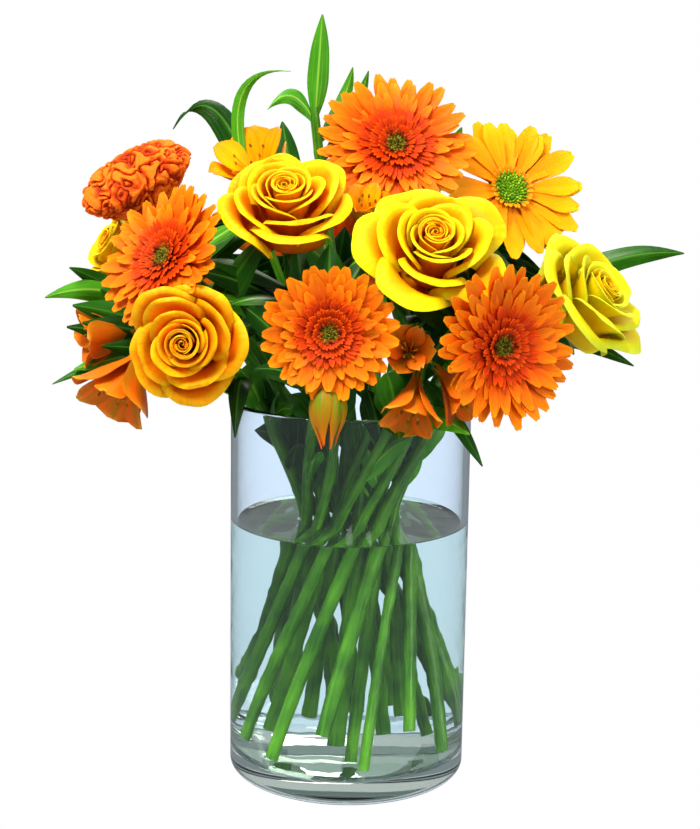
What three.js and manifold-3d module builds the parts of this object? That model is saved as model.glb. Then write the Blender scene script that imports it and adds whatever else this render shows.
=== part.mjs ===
// A cut-flower bouquet standing in a straight glass cylinder of water: six gerberas, six yellow
// roses, one cockscomb, alstroemeria sprays and leafy shoots, all tied by their own crossing stems.
// Millimetres, +Z up, origin at the centre of the vase's foot. The bouquet is seen from -Y, so -Y is
// the front and +X the right.
import * as THREE from "three";
import { mergeVertices } from "three/addons/utils/BufferGeometryUtils.js";
import Module from "manifold-3d";

const wasm = await Module();
wasm.setup();

// ---------------------------------------------------------------- driving dimensions
const VASE_RADIUS = 75; // outside
const VASE_HEIGHT = 240;
const VASE_WALL = 4;
const VASE_FLOOR = 14; // thickness of the heavy glass foot
const FOOT_ROUNDING = 6; // outer edge of the foot
const INNER_CORNER = 3; // between the wall and the floor inside
const VASE_SIDES = 28;
const WATER_LEVEL = 162;
const GAP = 0.3; // clearance wherever two separate pieces touch

const WAIST_HEIGHT = 170; // where the stems cross, just above the water
const RIM_HEIGHT = 232;
const STEM_END = VASE_FLOOR + 1.6; // the cut ends stand on the glass floor
const STEM_SIDES = 5;
const STEM_STEPS = 7; // one in the water, the rest above it
const HOLE_CLEARANCE = 1.2; // between a stem and the water around it
const STEM_RADII = { head: 3.25, crest: 4, spray: 3, shoot: 2.6, stalk: 2.1 };
const STEM_SPACING = 8.6; // least distance between the middles of two stems
const LEAF_CLEARANCE = 0.8; // between a leaf and a stem that it passes
const ROUTE_POINTS = 14; // from the waist to the bloom
const ROUTE_ROUNDS = 160;
const SMALLEST_EDGE = 0.2; // shorter ones are merged away after a cut

// Stems are bunched in three nested rings that all twist the same way, so none cross.
const RINGS = {
  inner: { count: 4, waist: 8, foot: 20, rim: 17, firstDeg: -135 },
  middle: { count: 8, waist: 18, foot: 40, rim: 37, firstDeg: 110 },
  outer: { count: 13, waist: 28, foot: 61, rim: 58, firstDeg: 92 },
};
const FOOT_TWIST_DEG = -62; // from the waist down to the floor
const RIM_TWIST_DEG = 38; // from the waist up to the rim

const FINISHES = {
  glass: { color: 0xdde9ee, roughness: 0.02, metalness: 0, transparent: true, opacity: 0.3 },
  water: { color: 0xcfe4ea, roughness: 0.0, metalness: 0, transparent: true, opacity: 0.3 },
  orange: { color: 0xf47a12, roughness: 0.6, metalness: 0 },
  amber: { color: 0xf9a51c, roughness: 0.6, metalness: 0 },
  yellow: { color: 0xf7cf1d, roughness: 0.55, metalness: 0 },
  rust: { color: 0xc2480f, roughness: 0.85, metalness: 0 },
  coral: { color: 0xd9531a, roughness: 0.6, metalness: 0 },
  olive: { color: 0x5b5a1c, roughness: 0.8, metalness: 0 },
  lime: { color: 0x7fa52a, roughness: 0.8, metalness: 0 },
  green: { color: 0x3f8f2a, roughness: 0.5, metalness: 0 },
};

// ---------------------------------------------------------------- the flowers
// at is the middle of the open face, facing the way it looks, radius its reach. Each stem has its
// slot in one of the three rings. Blooms come in the order in which they give way: a later one is
// trimmed behind an earlier one. A leaf leaves its stem at z and arches to its tip, over a point.
const ROSES = [
  { name: "rose_centre", at: [50, -90, 346], facing: [0.06, -0.74, 0.67], radius: 33.8, spread: 1,
    ring: "middle", slot: 3, leaves: [
      { z: 292, tip: [33, -82, 298] },
      { z: 300, tip: [66, -66, 300] },
    ] },
  { name: "rose_left", at: [-90, -92, 280], facing: [-0.1, -0.99, 0.08], radius: 32, spread: 0.15,
    ring: "outer", slot: 3, leaves: [
      { z: 250, tip: [-67, -80, 230], over: [-66, -70, 275] },
      { z: 196, tip: [-30, -57, 222] },
    ] },
  { name: "rose_top", at: [-40, -56, 371], facing: [-0.02, -0.6, 0.8], radius: 34, spread: 0.25,
    ring: "middle", slot: 2, leaves: [
      { z: 306, tip: [-88, -60, 330], width: 14 },
      { z: 300, tip: [-70, -72, 306] },
      { z: 312, tip: [-26, -66, 326] },
    ] },
  { name: "rose_right", at: [152, -16, 312], facing: [0.66, -0.42, 0.62], radius: 35, spread: 0.7, turn: 0.45,
    ring: "outer", slot: 8, leaves: [{ z: 200, tip: [60, -8, 226] }] },
  { name: "rose_side", at: [-152, 26, 333], facing: [-0.8, -0.3, 0.52], radius: 28, spread: 0.2,
    ring: "outer", slot: 0, leaves: [
      { z: 198, tip: [-60, 6, 224] },
      { z: 270, tip: [-132, 40, 292] },
    ] },
  { name: "rose_back", at: [72, 92, 302], facing: [0.5, 0.76, 0.42], radius: 33, spread: 0.4,
    ring: "outer", slot: 10, leaves: [
      { z: 240, tip: [92, 78, 262] },
      { z: 200, tip: [34, 50, 226] },
    ] },
];
const GERBERAS = [
  { name: "gerbera_front", at: [-13, -97, 294], facing: [0.02, -0.98, 0.14], radius: 38, cup: 6,
    ring: "outer", slot: 5 },
  { name: "gerbera_right", at: [84, -90, 288], facing: [0.5, -0.86, 0.08], radius: 46, cup: 10,
    ring: "outer", slot: 7 },
  { name: "gerbera_left", at: [-110, -58, 331], facing: [-0.56, -0.68, 0.45], radius: 44, cup: 5,
    ring: "middle", slot: 1 },
  { name: "gerbera_top", at: [25, 14, 400], facing: [0.06, -0.8, 0.6], radius: 47, cup: 2,
    ring: "inner", slot: 1 },
  { name: "gerbera_amber", at: [97, 26, 372], facing: [0.28, -0.84, 0.46], radius: 45, cup: 3,
    single: true, ring: "middle", slot: 5 },
  { name: "gerbera_back", at: [-14, 112, 316], facing: [-0.08, 0.88, 0.46], radius: 44, cup: 6,
    ring: "outer", slot: 11 },
];
// A spray is one stem whose short stalks each carry a funnel of six petals; a bud is still shut.
const SPRAYS = [
  { name: "alstroemeria_left", ring: "outer", slot: 2, fork: [-107, -34, 262],
    blooms: [
      { at: [-141, -72, 252], facing: [-0.42, -0.5, -0.75], radius: 23, length: 42 },
      { at: [-162, -36, 280], facing: [-0.86, -0.3, -0.1], radius: 20, length: 38 },
    ],
    leaves: [
      { z: 256, tip: [-177, -70, 259], over: [-140, -66, 322], width: 7 },
      { z: 250, tip: [-100, -66, 246], over: [-84, -52, 272] },
    ] },
  { name: "alstroemeria_front", ring: "outer", slot: 4, fork: [-24, -70, 268],
    blooms: [{ at: [-13, -108, 232], facing: [0.02, -0.3, -0.95], radius: 10, length: 40, bud: true }],
    leaves: [{ z: 190, tip: [-18, -62, 218] }] },
  { name: "alstroemeria_right", ring: "outer", slot: 6, fork: [42, -54, 262],
    blooms: [
      { at: [33, -96, 243], facing: [-0.15, -0.62, -0.77], radius: 19, length: 36 },
      { at: [69, -84, 252], facing: [0.62, -0.5, -0.6], radius: 18, length: 34 },
      { at: [32, -96, 286], facing: [-0.04, -0.95, 0.25], radius: 15, length: 25 },
    ],
    leaves: [
      { z: 262, tip: [77, -76, 214], width: 11 },
      { z: 194, tip: [36, -52, 226] },
    ] },
  { name: "alstroemeria_middle", petals: "amber", ring: "inner", slot: 0, fork: [7, -30, 335],
    blooms: [{ at: [7, -44, 368], facing: [0.0, -0.5, 0.86], radius: 15, length: 30 }],
    leaves: [
      { z: 322, tip: [3, -62, 354] },
      { z: 310, tip: [-10, -66, 330], width: 15 },
      { z: 300, tip: [28, -70, 316] },
    ] },
  { name: "alstroemeria_top", petals: "amber", ring: "inner", slot: 3, fork: [-58, 22, 345],
    blooms: [{ at: [-66, 8, 392], facing: [-0.3, -0.5, 0.8], radius: 27, length: 42 }],
    leaves: [
      { z: 334, tip: [-112, 15, 404], over: [-86, 66, 452], width: 18 },
      { z: 338, tip: [-40, 12, 440], over: [-98, 66, 448], width: 6 },
      { z: 298, tip: [-62, -36, 322], width: 17 },
    ] },
  { name: "alstroemeria_back", ring: "outer", slot: 12, fork: [-60, 50, 266],
    blooms: [
      { at: [-98, 88, 300], facing: [-0.6, 0.72, 0.34], radius: 23, length: 40 },
      { at: [-78, 84, 346], facing: [-0.45, 0.5, 0.74], radius: 22, length: 40 },
    ],
    leaves: [
      { z: 200, tip: [-40, 44, 226] },
      { z: 280, tip: [-104, 60, 268] },
    ] },
];
const COCKSCOMB = { name: "cockscomb", at: [-131, 0, 371], facing: [-0.4, -0.22, 0.89],
  size: [22, 40, 21], ring: "middle", slot: 0 };
const SHOOTS = [
  { name: "shoot_top", top: [-26, 26, 418], ring: "inner", slot: 2,
    leaves: [
      { z: 412, tip: [-21, 20, 474], width: 18, arch: 2 },
      { z: 408, tip: [-54, 20, 416], width: 11, arch: 26 },
      { z: 394, tip: [-2, 44, 443], over: [-6, 52, 420], width: 9 },
      { z: 384, tip: [8, 50, 441], over: [2, 62, 416], width: 9 },
      { z: 316, tip: [-40, -34, 342], width: 17 },
      { z: 290, tip: [-2, -46, 318], width: 16 },
    ] },
  { name: "shoot_left", top: [-132, -6, 298], ring: "outer", slot: 1,
    leaves: [
      { z: 292, tip: [-183, -40, 305], over: [-150, -14, 316], width: 15 },
      { z: 288, tip: [-170, -30, 322], over: [-150, -8, 312], width: 12 },
      { z: 286, tip: [-150, -40, 268], width: 12, arch: 6 },
      { z: 198, tip: [-58, -26, 224] },
    ] },
  { name: "shoot_right", top: [128, 34, 308], ring: "outer", slot: 9,
    leaves: [
      { z: 304, tip: [206, 14, 332], over: [168, 52, 332], width: 15 },
      { z: 300, tip: [172, 44, 300], width: 14 },
      { z: 286, tip: [128, 72, 312], width: 13 },
      { z: 200, tip: [52, 30, 228] },
    ] },
  { name: "shoot_back_right", top: [52, 70, 366], ring: "middle", slot: 6,
    leaves: [
      { z: 362, tip: [70, 84, 406], width: 16, arch: 4 },
      { z: 340, tip: [98, 86, 358], width: 15 },
      { z: 330, tip: [22, 104, 362], width: 15 },
      { z: 316, tip: [30, 84, 330], width: 14 },
    ] },
  { name: "shoot_back_left", top: [-40, 72, 362], ring: "middle", slot: 7,
    leaves: [
      { z: 358, tip: [-48, 84, 408], width: 16, arch: 4 },
      { z: 340, tip: [-88, 76, 386], width: 15 },
      { z: 332, tip: [-4, 96, 372], width: 15 },
      { z: 300, tip: [-56, 110, 300], width: 14 },
    ] },
];

// ---------------------------------------------------------------- solids
const point = (x, y, z) => new THREE.Vector3(x, y, z);
const radians = THREE.MathUtils.degToRad;

/** A repeatable source of numbers from 0 to 1. */
function seededRandom(seed) {
  let state = seed;
  return () => {
    state = (state + 0x6d2b79f5) >>> 0;
    let mixed = Math.imul(state ^ (state >>> 15), state | 1);
    mixed ^= mixed + Math.imul(mixed ^ (mixed >>> 7), mixed | 61);
    return ((mixed ^ (mixed >>> 14)) >>> 0) / 2 ** 32;
  };
}

/** A solid from a closed three.js geometry. */
function solidOf(geometry) {
  geometry.deleteAttribute("normal");
  geometry.deleteAttribute("uv");
  const merged = mergeVertices(geometry);
  const corners = merged.index.array;
  const faces = [];
  for (let i = 0; i < corners.length; i += 3) {
    const [a, b, c] = [corners[i], corners[i + 1], corners[i + 2]];
    if (a !== b && b !== c && c !== a) faces.push(a, b, c);
  }
  return new wasm.Manifold(new wasm.Mesh({
    numProp: 3,
    vertProperties: new Float32Array(merged.attributes.position.array),
    triVerts: new Uint32Array(faces),
  }));
}

/** A closed geometry from points and triangles, turned so that its faces point out. */
function closedGeometry(points, faces) {
  let volume = 0;
  for (let i = 0; i < faces.length; i += 3) {
    const [a, b, c] = [points[faces[i]], points[faces[i + 1]], points[faces[i + 2]]];
    volume += a.dot(b.clone().cross(c));
  }
  const geometry = new THREE.BufferGeometry().setFromPoints(points);
  geometry.setIndex(volume > 0 ? faces : faces.toReversed());
  return geometry;
}

/** A body drawn through rings of points, with both ends closed. */
function loft(rings) {
  const around = rings[0].length;
  const faces = [];
  for (let ring = 0; ring + 1 < rings.length; ring += 1) {
    for (let i = 0; i < around; i += 1) {
      const a = ring * around + i;
      const b = ring * around + ((i + 1) % around);
      faces.push(a, b, b + around, a, b + around, a + around);
    }
  }
  const last = (rings.length - 1) * around;
  for (let i = 1; i + 1 < around; i += 1) {
    faces.push(0, i + 1, i, last, last + i, last + i + 1);
  }
  return solidOf(closedGeometry(rings.flat(), faces));
}

/** A blade along a path: flat above, with a keel below; across is its width direction. */
function blade(path, widths, depth, across) {
  const rings = path.map((middle, i) => {
    const before = path[Math.max(i - 1, 0)];
    const after = path[Math.min(i + 1, path.length - 1)];
    const up = after.clone().sub(before).cross(across).normalize();
    const half = across.clone().multiplyScalar(widths[i] / 2);
    return [middle.clone().sub(half), middle.clone().add(half), middle.clone().addScaledVector(up, -depth)];
  });
  return loft(rings);
}

/** A curved petal of even thickness; surface(u, v) gives its middle for u, v from 0 to 1. */
function sheet(surface, columns, rows, thickness) {
  const step = 1e-3;
  const points = [];
  for (const side of [0.5, -0.5]) {
    for (let row = 0; row <= rows; row += 1) {
      for (let column = 0; column <= columns; column += 1) {
        const [u, v] = [column / columns, row / rows];
        const middle = surface(u, v);
        const alongU = surface(u + step, v).sub(middle);
        const alongV = surface(u, v + step).sub(middle);
        points.push(middle.addScaledVector(alongU.cross(alongV).normalize(), side * thickness));
      }
    }
  }
  const wide = columns + 1;
  const under = wide * (rows + 1);
  const faces = [];
  const quad = (a, b, c, d) => faces.push(a, b, c, a, c, d);
  for (let row = 0; row < rows; row += 1) {
    for (let column = 0; column < columns; column += 1) {
      const a = row * wide + column;
      faces.push(a, a + 1, a + 1 + wide, a, a + 1 + wide, a + wide);
      const b = a + under;
      faces.push(b, b + 1 + wide, b + 1, b, b + wide, b + 1 + wide);
    }
  }
  for (let column = 0; column < columns; column += 1) {
    const low = column;
    const high = rows * wide + column;
    quad(low, low + under, low + 1 + under, low + 1);
    quad(high + 1, high + 1 + under, high + under, high);
  }
  for (let row = 0; row < rows; row += 1) {
    const left = row * wide;
    const right = left + columns;
    quad(left + wide, left + wide + under, left + under, left);
    quad(right, right + under, right + wide + under, right + wide);
  }
  return solidOf(closedGeometry(points, faces));
}

/**
 * One body of petals in whorls round +Z, each whorl half a pitch on from the one below it. The foot
 * and the roots are [radius, height], the shoulders and tips [radius, height, width]; loose is how
 * far the petals stray from even, as a share of their length.
 */
function whorls(count, foot, rings, depth, loose, random) {
  const points = [point(0, 0, foot[1])];
  const faces = [];
  const put = (place) => points.push(place) - 1;
  const at = (r, angle, z, aside = 0) => put(point(
    r * Math.cos(angle) - aside * Math.sin(angle),
    r * Math.sin(angle) + aside * Math.cos(angle),
    z,
  ));
  const quad = (a, b, c, d) => faces.push(a, b, c, a, c, d);
  const pitch = (2 * Math.PI) / count;
  const each = Array.from({ length: count }, (_, i) => i);
  let lower = each.map((i) => at(foot[0], i * pitch, foot[1]));
  each.forEach((i) => faces.push(0, lower[(i + 1) % count], lower[i]));
  rings.forEach(({ root, shoulder, tip }, whorl) => {
    const turn = (whorl * pitch) / 2;
    const keels = each.map((i) => at(root[0], i * pitch + turn, root[1] - depth));
    const seams = each.map((i) => at(root[0], (i + 0.5) * pitch + turn, root[1]));
    each.forEach((i) => {
      const next = (i + 1) % count;
      faces.push(lower[i], lower[next], seams[i]);
      faces.push(lower[i], seams[i], keels[i]);
      faces.push(lower[next], keels[next], seams[i]);
      const angle = i * pitch + turn + (random() - 0.5) * loose * pitch * 2;
      const reach = 1 + (random() - 0.5) * loose;
      const lift = (random() - 0.5) * loose * tip[0] * 0.5;
      const section = ([r, z, width], share) => [-width / 2, width / 2, 0].map((aside, corner) =>
        at(r * reach, angle, z + lift * share - (corner === 2 ? depth : 0), aside));
      const [shoulderA, shoulderB, shoulderKeel] = section(shoulder, 0.5);
      const [tipA, tipB, tipKeel] = section(tip, 1);
      const [seamA, seamB, keel] = [seams[(i + count - 1) % count], seams[i], keels[i]];
      quad(seamA, shoulderA, shoulderB, seamB);
      quad(shoulderA, tipA, tipB, shoulderB);
      quad(seamA, keel, shoulderKeel, shoulderA);
      quad(shoulderA, shoulderKeel, tipKeel, tipA);
      quad(keel, seamB, shoulderB, shoulderKeel);
      quad(shoulderKeel, shoulderB, tipB, tipKeel);
      faces.push(tipA, tipKeel, tipB);
    });
    lower = seams;
  });
  const middle = put(point(0, 0, rings.at(-1).root[1]));
  each.forEach((i) => faces.push(middle, lower[i], lower[(i + 1) % count]));
  return solidOf(closedGeometry(points, faces));
}

/** A turned body about +Z from [radius, height] pairs that start and end on the axis. */
function turned(profile, sides) {
  const lathe = new THREE.LatheGeometry(profile.map(([r, z]) => new THREE.Vector2(r, z)), sides);
  return solidOf(lathe.rotateX(Math.PI / 2));
}

/** A bar of a few sides along a curve. */
function bar(curve, radius, steps, sides = STEM_SIDES) {
  const corners = [];
  for (let i = 0; i < sides; i += 1) {
    const angle = (i / sides) * 2 * Math.PI;
    corners.push(new THREE.Vector2(radius * Math.cos(angle), radius * Math.sin(angle)));
  }
  const section = new THREE.Shape(corners);
  return solidOf(new THREE.ExtrudeGeometry(section, { steps, extrudePath: curve }));
}

const joined = (solids) => wasm.Manifold.union(solids);

/** The largest of some solids. */
const largest = (pieces) => pieces.toSorted((a, b) => b.volume() - a.volume())[0];

/** The piece of a trimmed solid that still holds the given point's surroundings. */
function pieceAt(solid, anchor) {
  const pieces = solid.decompose();
  if (pieces.length < 2) return solid;
  const distance = (piece) => {
    const { min, max } = piece.boundingBox();
    return new THREE.Box3(point(...min), point(...max)).distanceToPoint(anchor);
  };
  const near = pieces.filter((piece) => distance(piece) < 1);
  return largest(near.length ? near : pieces);
}

/** The turn and shift that set a bloom, drawn about +Z at the origin, at its place. */
function stance(at, facing) {
  const forward = point(...facing).normalize();
  const right = point(0, 0, 1).cross(forward).normalize();
  const up = forward.clone().cross(right);
  return new THREE.Matrix4().makeBasis(right, up, forward).setPosition(...at);
}
const moved = (solid, matrix) => solid.transform(matrix.elements);

// ---------------------------------------------------------------- gerbera
const CALYX_DEPTH = 22;
const HEAD_DEPTH = 6;
const RAY_DEPTH = 1.2;
const CROWN_HEIGHT = 2.4; // of the seat that the disc stands on

/** The ray petals of a head about +Z: a double head has a second row and a crown of short ones. */
function gerberaRays({ radius, cup, single }, random) {
  const row = (root, base, reach, rise, width) => ({
    root: [root * radius, base],
    shoulder: [(0.3 * root + 0.7 * reach) * radius, base + 0.6 + 0.5 * rise, width],
    tip: [reach * radius, base + rise, width * 0.42],
  });
  const rows = single
    ? [row(0.27, -1.5, 0.98, cup, 12.5), row(0.25, CROWN_HEIGHT, 0.9, cup * 0.8 - 1, 11.5)]
    : [row(0.24, -3.4, 0.98, cup, 10), row(0.22, -0.6, 0.82, cup * 0.8 + 0.5, 8.2),
      row(0.19, CROWN_HEIGHT, 0.46, 5, 4)];
  return whorls(single ? 11 : 13, [0.2 * radius, -HEAD_DEPTH], rows, RAY_DEPTH, 0.07, random);
}

/** The disc in the middle of a head: a low dome of florets. */
function gerberaDisc({ radius, single }) {
  const reach = (single ? 0.22 : 0.165) * radius;
  const around = 10;
  const floor = CROWN_HEIGHT + GAP;
  const rings = [[0.94, 0], [1, 1.4], [0.72, 3.4], [0.36, 3]].map(([share, rise], ring) => {
    const florets = [];
    for (let i = 0; i < around; i += 1) {
      const angle = ((i + ring * 0.5) / around) * 2 * Math.PI;
      const proud = i % 2 ? 1 : 0.86;
      florets.push(point(reach * share * proud * Math.cos(angle), reach * share * proud * Math.sin(angle),
        floor + rise * proud));
    }
    return florets;
  });
  return loft(rings);
}

/** The green cup behind a head, which the stem grows into. */
function gerberaCalyx(flower) {
  const wide = 0.2 * flower.radius;
  const top = -HEAD_DEPTH - GAP;
  return turned([[0, -CALYX_DEPTH], [3.2, -CALYX_DEPTH], [wide * 0.8, top - 6], [wide, top], [0, top]], 8);
}

// ---------------------------------------------------------------- rose
const ROSE_DEPTH = 38; // from the lip of the bloom down to its base
const PETAL_THICKNESS = 0.9;

/** A rose petal round the bloom's axis: profile gives [radius, height] from its base to its lip. */
function rosePetal(profile, middle, halfAngle, lean, columns, rows) {
  const spline = new THREE.SplineCurve(profile.map(([r, z]) => new THREE.Vector2(r, z)));
  return sheet((u, v) => {
    const side = 2 * u - 1;
    const share = Math.min(v, 1);
    const along = spline.getPoint(share);
    const angle = middle + side * halfAngle * (0.45 + 0.55 * Math.min(1, v * 1.8));
    const aside = side * lean * Math.min(1, 2 * v);
    const r = along.x + aside;
    const drop = side * side * share * share * 5;
    const z = along.y - drop - aside + Math.max(0, v - 1);
    return point(r * Math.cos(angle), r * Math.sin(angle), z);
  }, columns, rows, PETAL_THICKNESS);
}

/** The base and furled middle of a rose: a barrel whose top shows the rolled petals as steps. */
function roseHeart(scale) {
  const around = 8;
  const outline = [[7, -ROSE_DEPTH, 0], [13, -33, 0], [12, -12, 0], [15 * scale, 6, 2], [11 * scale, 9, 2],
    [8 * scale, 4.5, 1.5], [3.5 * scale, 8, 1]];
  const rings = outline.map(([r, z, step], ring) => {
    const corners = [];
    for (let i = 0; i < around; i += 1) {
      const turn = i / around;
      const angle = (turn + ring * 0.02) * 2 * Math.PI;
      const out = r + step * scale * ((turn * 3) % 1);
      corners.push(point(out * Math.cos(angle), out * Math.sin(angle), z));
    }
    return corners;
  });
  return loft(rings);
}

/** A whole rose about +Z: guard petals and inner petals round the furled middle; turn is in petals. */
function roseBloom({ radius, spread, turn = 0 }, random) {
  const scale = radius / 34;
  const reach = radius + 10 * spread;
  const guard = [[8, -36], [0.78 * radius, -24], [radius, -9 - 4 * spread], [reach, -3 - 5 * spread]];
  const inner = [[9, -30], [18.5 * scale, -17], [22.5 * scale, 0], [26 * scale, 7]];
  const start = turn + random();
  const pieces = [roseHeart(scale)];
  for (let i = 0; i < 5; i += 1) {
    pieces.push(rosePetal(guard, ((i + start) / 5) * 2 * Math.PI, radians(46), 2, 3, 2));
  }
  for (let i = 0; i < 3; i += 1) {
    pieces.push(rosePetal(inner, ((i + start) / 3) * 2 * Math.PI, radians(62), 1.8, 3, 2));
  }
  return joined(pieces);
}

/** The swollen green base under a rose, with its five sepals bent down and out. */
function roseSepals(random) {
  const top = -ROSE_DEPTH - GAP;
  const sepals = { root: [5.5, top], shoulder: [11, top - 1.5, 6], tip: [18, top - 7, 1.4] };
  return whorls(5, [3.2, top - 12], [sepals], 1.2, 0.08, random);
}

// ---------------------------------------------------------------- alstroemeria
/** An open bloom about +Z: three broad petals, and within them three narrow ones, on one tube. */
function alstroemeriaBloom({ radius, length }, random) {
  const broad = { root: [3.8, -0.7 * length], shoulder: [0.66 * radius, -0.3 * length, 0.72 * radius],
    tip: [radius, 0, 0.3 * radius] };
  const narrow = { root: [3.2, -0.56 * length], shoulder: [0.52 * radius, -0.24 * length, 0.46 * radius],
    tip: [0.88 * radius, 0.04 * length, 0.14 * radius] };
  return whorls(3, [2.4, -length], [broad, narrow], 1.2, 0.08, random);
}

/** A bud that is still shut: six folded petals in one ribbed spindle. */
function alstroemeriaBud(bloom) {
  const { radius, length } = bloom;
  const outline = [[0.26, 1], [0.6, 0.84], [1, 0.5], [0.92, 0.26], [0.12, 0]];
  const rings = outline.map(([share, depth]) => {
    const ridge = [];
    for (let i = 0; i < 12; i += 1) {
      const angle = (i / 12) * 2 * Math.PI;
      const out = radius * share * (i % 2 ? 1 : 0.74);
      ridge.push(point(out * Math.cos(angle), out * Math.sin(angle), -depth * length));
    }
    return ridge;
  });
  return loft(rings);
}

// ---------------------------------------------------------------- cockscomb
const CREST_DETAIL = 3;

/** The crest: a flattened dome thrown into winding ridges. */
function cockscombCrest(flower) {
  const [wide, deep, tall] = flower.size;
  const drawn = new THREE.IcosahedronGeometry(1, CREST_DETAIL);
  const ball = mergeVertices(drawn.deleteAttribute("normal").deleteAttribute("uv"));
  const places = ball.attributes.position;
  for (let i = 0; i < places.count; i += 1) {
    const way = new THREE.Vector3().fromBufferAttribute(places, i);
    const folds = Math.sin(5.2 * way.x + 2.2 * Math.sin(4.1 * way.y + 1));
    const winding = folds * Math.cos(4.6 * way.y + 1.9 * Math.sin(5 * way.x));
    const swell = 0.9 + 0.14 * winding * (0.4 + 0.6 * Math.max(0, way.z + 0.4));
    const waist = way.z < 0 ? 1 + 0.45 * way.z : 1;
    places.setXYZ(i, way.x * wide * swell * waist, way.y * deep * swell * waist, way.z * tall * swell);
  }
  return solidOf(ball);
}

// ---------------------------------------------------------------- the room that each bloom takes
// Outlines of [radius, height] about the bloom's own axis, from the axis out and back to the axis.
const gerberaRoom = ({ radius, cup }) => [
  [0, -CALYX_DEPTH - 1], [5, -CALYX_DEPTH - 1], [0.3 * radius, -9], [0.6 * radius, -5 + cup * 0.3],
  [1.07 * radius, -5 + cup], [1.07 * radius, 2.5 + cup], [0.6 * radius, 7 + 0.3 * cup], [0, 9],
];
const roseRoom = ({ radius, spread }) => {
  const reach = radius + 3 + 10 * spread;
  return [
    [0, -ROSE_DEPTH - 11], [18, -ROSE_DEPTH - 10], [18, -ROSE_DEPTH], [0.7 * radius, -29],
    [radius + 1, -22], [reach, -15], [reach, 0], [radius - 2, 6], [0.5 * radius, 11], [0, 11],
  ];
};
const sprayRoom = ({ radius, length }) => [
  [0, -length], [4, -length], [0.5 * radius, -0.5 * length], [1.04 * radius, -0.14 * length],
  [1.04 * radius, 1.5], [0.6 * radius, 2], [0, 0],
];
const budRoom = ({ radius, length }) => [
  [0, -length], [0.4 * radius, -length], [1.1 * radius, -0.6 * length], [1.1 * radius, -0.2 * length],
  [0, 1],
];
const crestRoom = ({ size: [wide, , tall] }) => [
  [0, -tall], [0.6 * wide, -tall], [1.05 * wide, 0], [0.7 * wide, tall], [0, tall + 2],
];

// The glass, and the space beside it where no stem can pass below the rim.
const glassRoom = {
  owner: "vase",
  matrix: new THREE.Matrix4(),
  inverse: new THREE.Matrix4(),
  outline: [
    [VASE_RADIUS - VASE_WALL, WATER_LEVEL], [2 * VASE_RADIUS, WATER_LEVEL],
    [1.4 * VASE_RADIUS, VASE_HEIGHT], [VASE_RADIUS + 4, VASE_HEIGHT + 5],
    [VASE_RADIUS - VASE_WALL - 2, VASE_HEIGHT + 3], [VASE_RADIUS - VASE_WALL, WATER_LEVEL],
  ],
};

/** How far, and which way, a place must move to be clear of a room by the given margin. */
function wayOut(room, place, margin) {
  const local = place.clone().applyMatrix4(room.inverse);
  const r = Math.hypot(local.x, local.y);
  let inside = false;
  let nearest = null;
  const outline = room.outline;
  for (let i = 0; i + 1 < outline.length; i += 1) {
    const [[r1, z1], [r2, z2]] = [outline[i], outline[i + 1]];
    const share = (r - r1) * (r2 - r1) + (local.z - z1) * (z2 - z1);
    const t = THREE.MathUtils.clamp(share / ((r2 - r1) ** 2 + (z2 - z1) ** 2), 0, 1);
    const away = [r - r1 - t * (r2 - r1), local.z - z1 - t * (z2 - z1)];
    const distance = Math.hypot(...away);
    if (!nearest || distance < nearest.distance) nearest = { distance, away };
    const crossed = r1 + ((local.z - z1) / (z2 - z1)) * (r2 - r1);
    if (z1 > local.z !== z2 > local.z && r < crossed) inside = !inside;
  }
  const short = inside ? nearest.distance + margin : margin - nearest.distance;
  if (short <= 0) return null;
  const push = (inside ? -short : short) / nearest.distance;
  const [outward, upward] = nearest.away.map((part) => part * push);
  const scale = outward / Math.max(r, 1e-6);
  return point(local.x * scale, local.y * scale, upward).transformDirection(room.matrix)
    .multiplyScalar(Math.hypot(outward, upward));
}

// ---------------------------------------------------------------- stems
/** Where a stem of a ring stands: at its slot's angle, turned on by a twist. */
function slotPlace(ring, slot, radius, twistDeg, height) {
  const angle = radians(RINGS[ring].firstDeg + (slot / RINGS[ring].count) * 360 + twistDeg);
  return point(radius * Math.cos(angle), radius * Math.sin(angle), height);
}

/** The first guess of a stem's way from the waist up to its end, arriving along the bloom's axis. */
function firstRoute({ ring, slot, end, arrival }) {
  const foot = slotPlace(ring, slot, RINGS[ring].foot, FOOT_TWIST_DEG, STEM_END);
  const waist = slotPlace(ring, slot, RINGS[ring].waist, 0, WAIST_HEIGHT);
  const rim = slotPlace(ring, slot, RINGS[ring].rim, RIM_TWIST_DEG, RIM_HEIGHT);
  const lean = waist.clone().sub(foot).normalize();
  const run = waist.distanceTo(end);
  const curve = new THREE.CubicBezierCurve3(waist, rim.clone().addScaledVector(lean, 4),
    end.clone().addScaledVector(arrival, -0.34 * run), end);
  const points = curve.getSpacedPoints(ROUTE_POINTS - 1);
  points[1] = waist.clone().addScaledVector(lean, points[1].distanceTo(waist));
  return { foot, points };
}

/** The nearest place to a point on a chain of points. */
function nearestOn(chain, place) {
  let best = null;
  for (let i = 0; i + 1 < chain.length; i += 1) {
    const part = new THREE.Line3(chain[i], chain[i + 1]);
    const spot = part.closestPointToPoint(place, true, new THREE.Vector3());
    const distance = spot.distanceTo(place);
    if (!best || distance < best.distance) best = { distance, spot };
  }
  return best;
}

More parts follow.
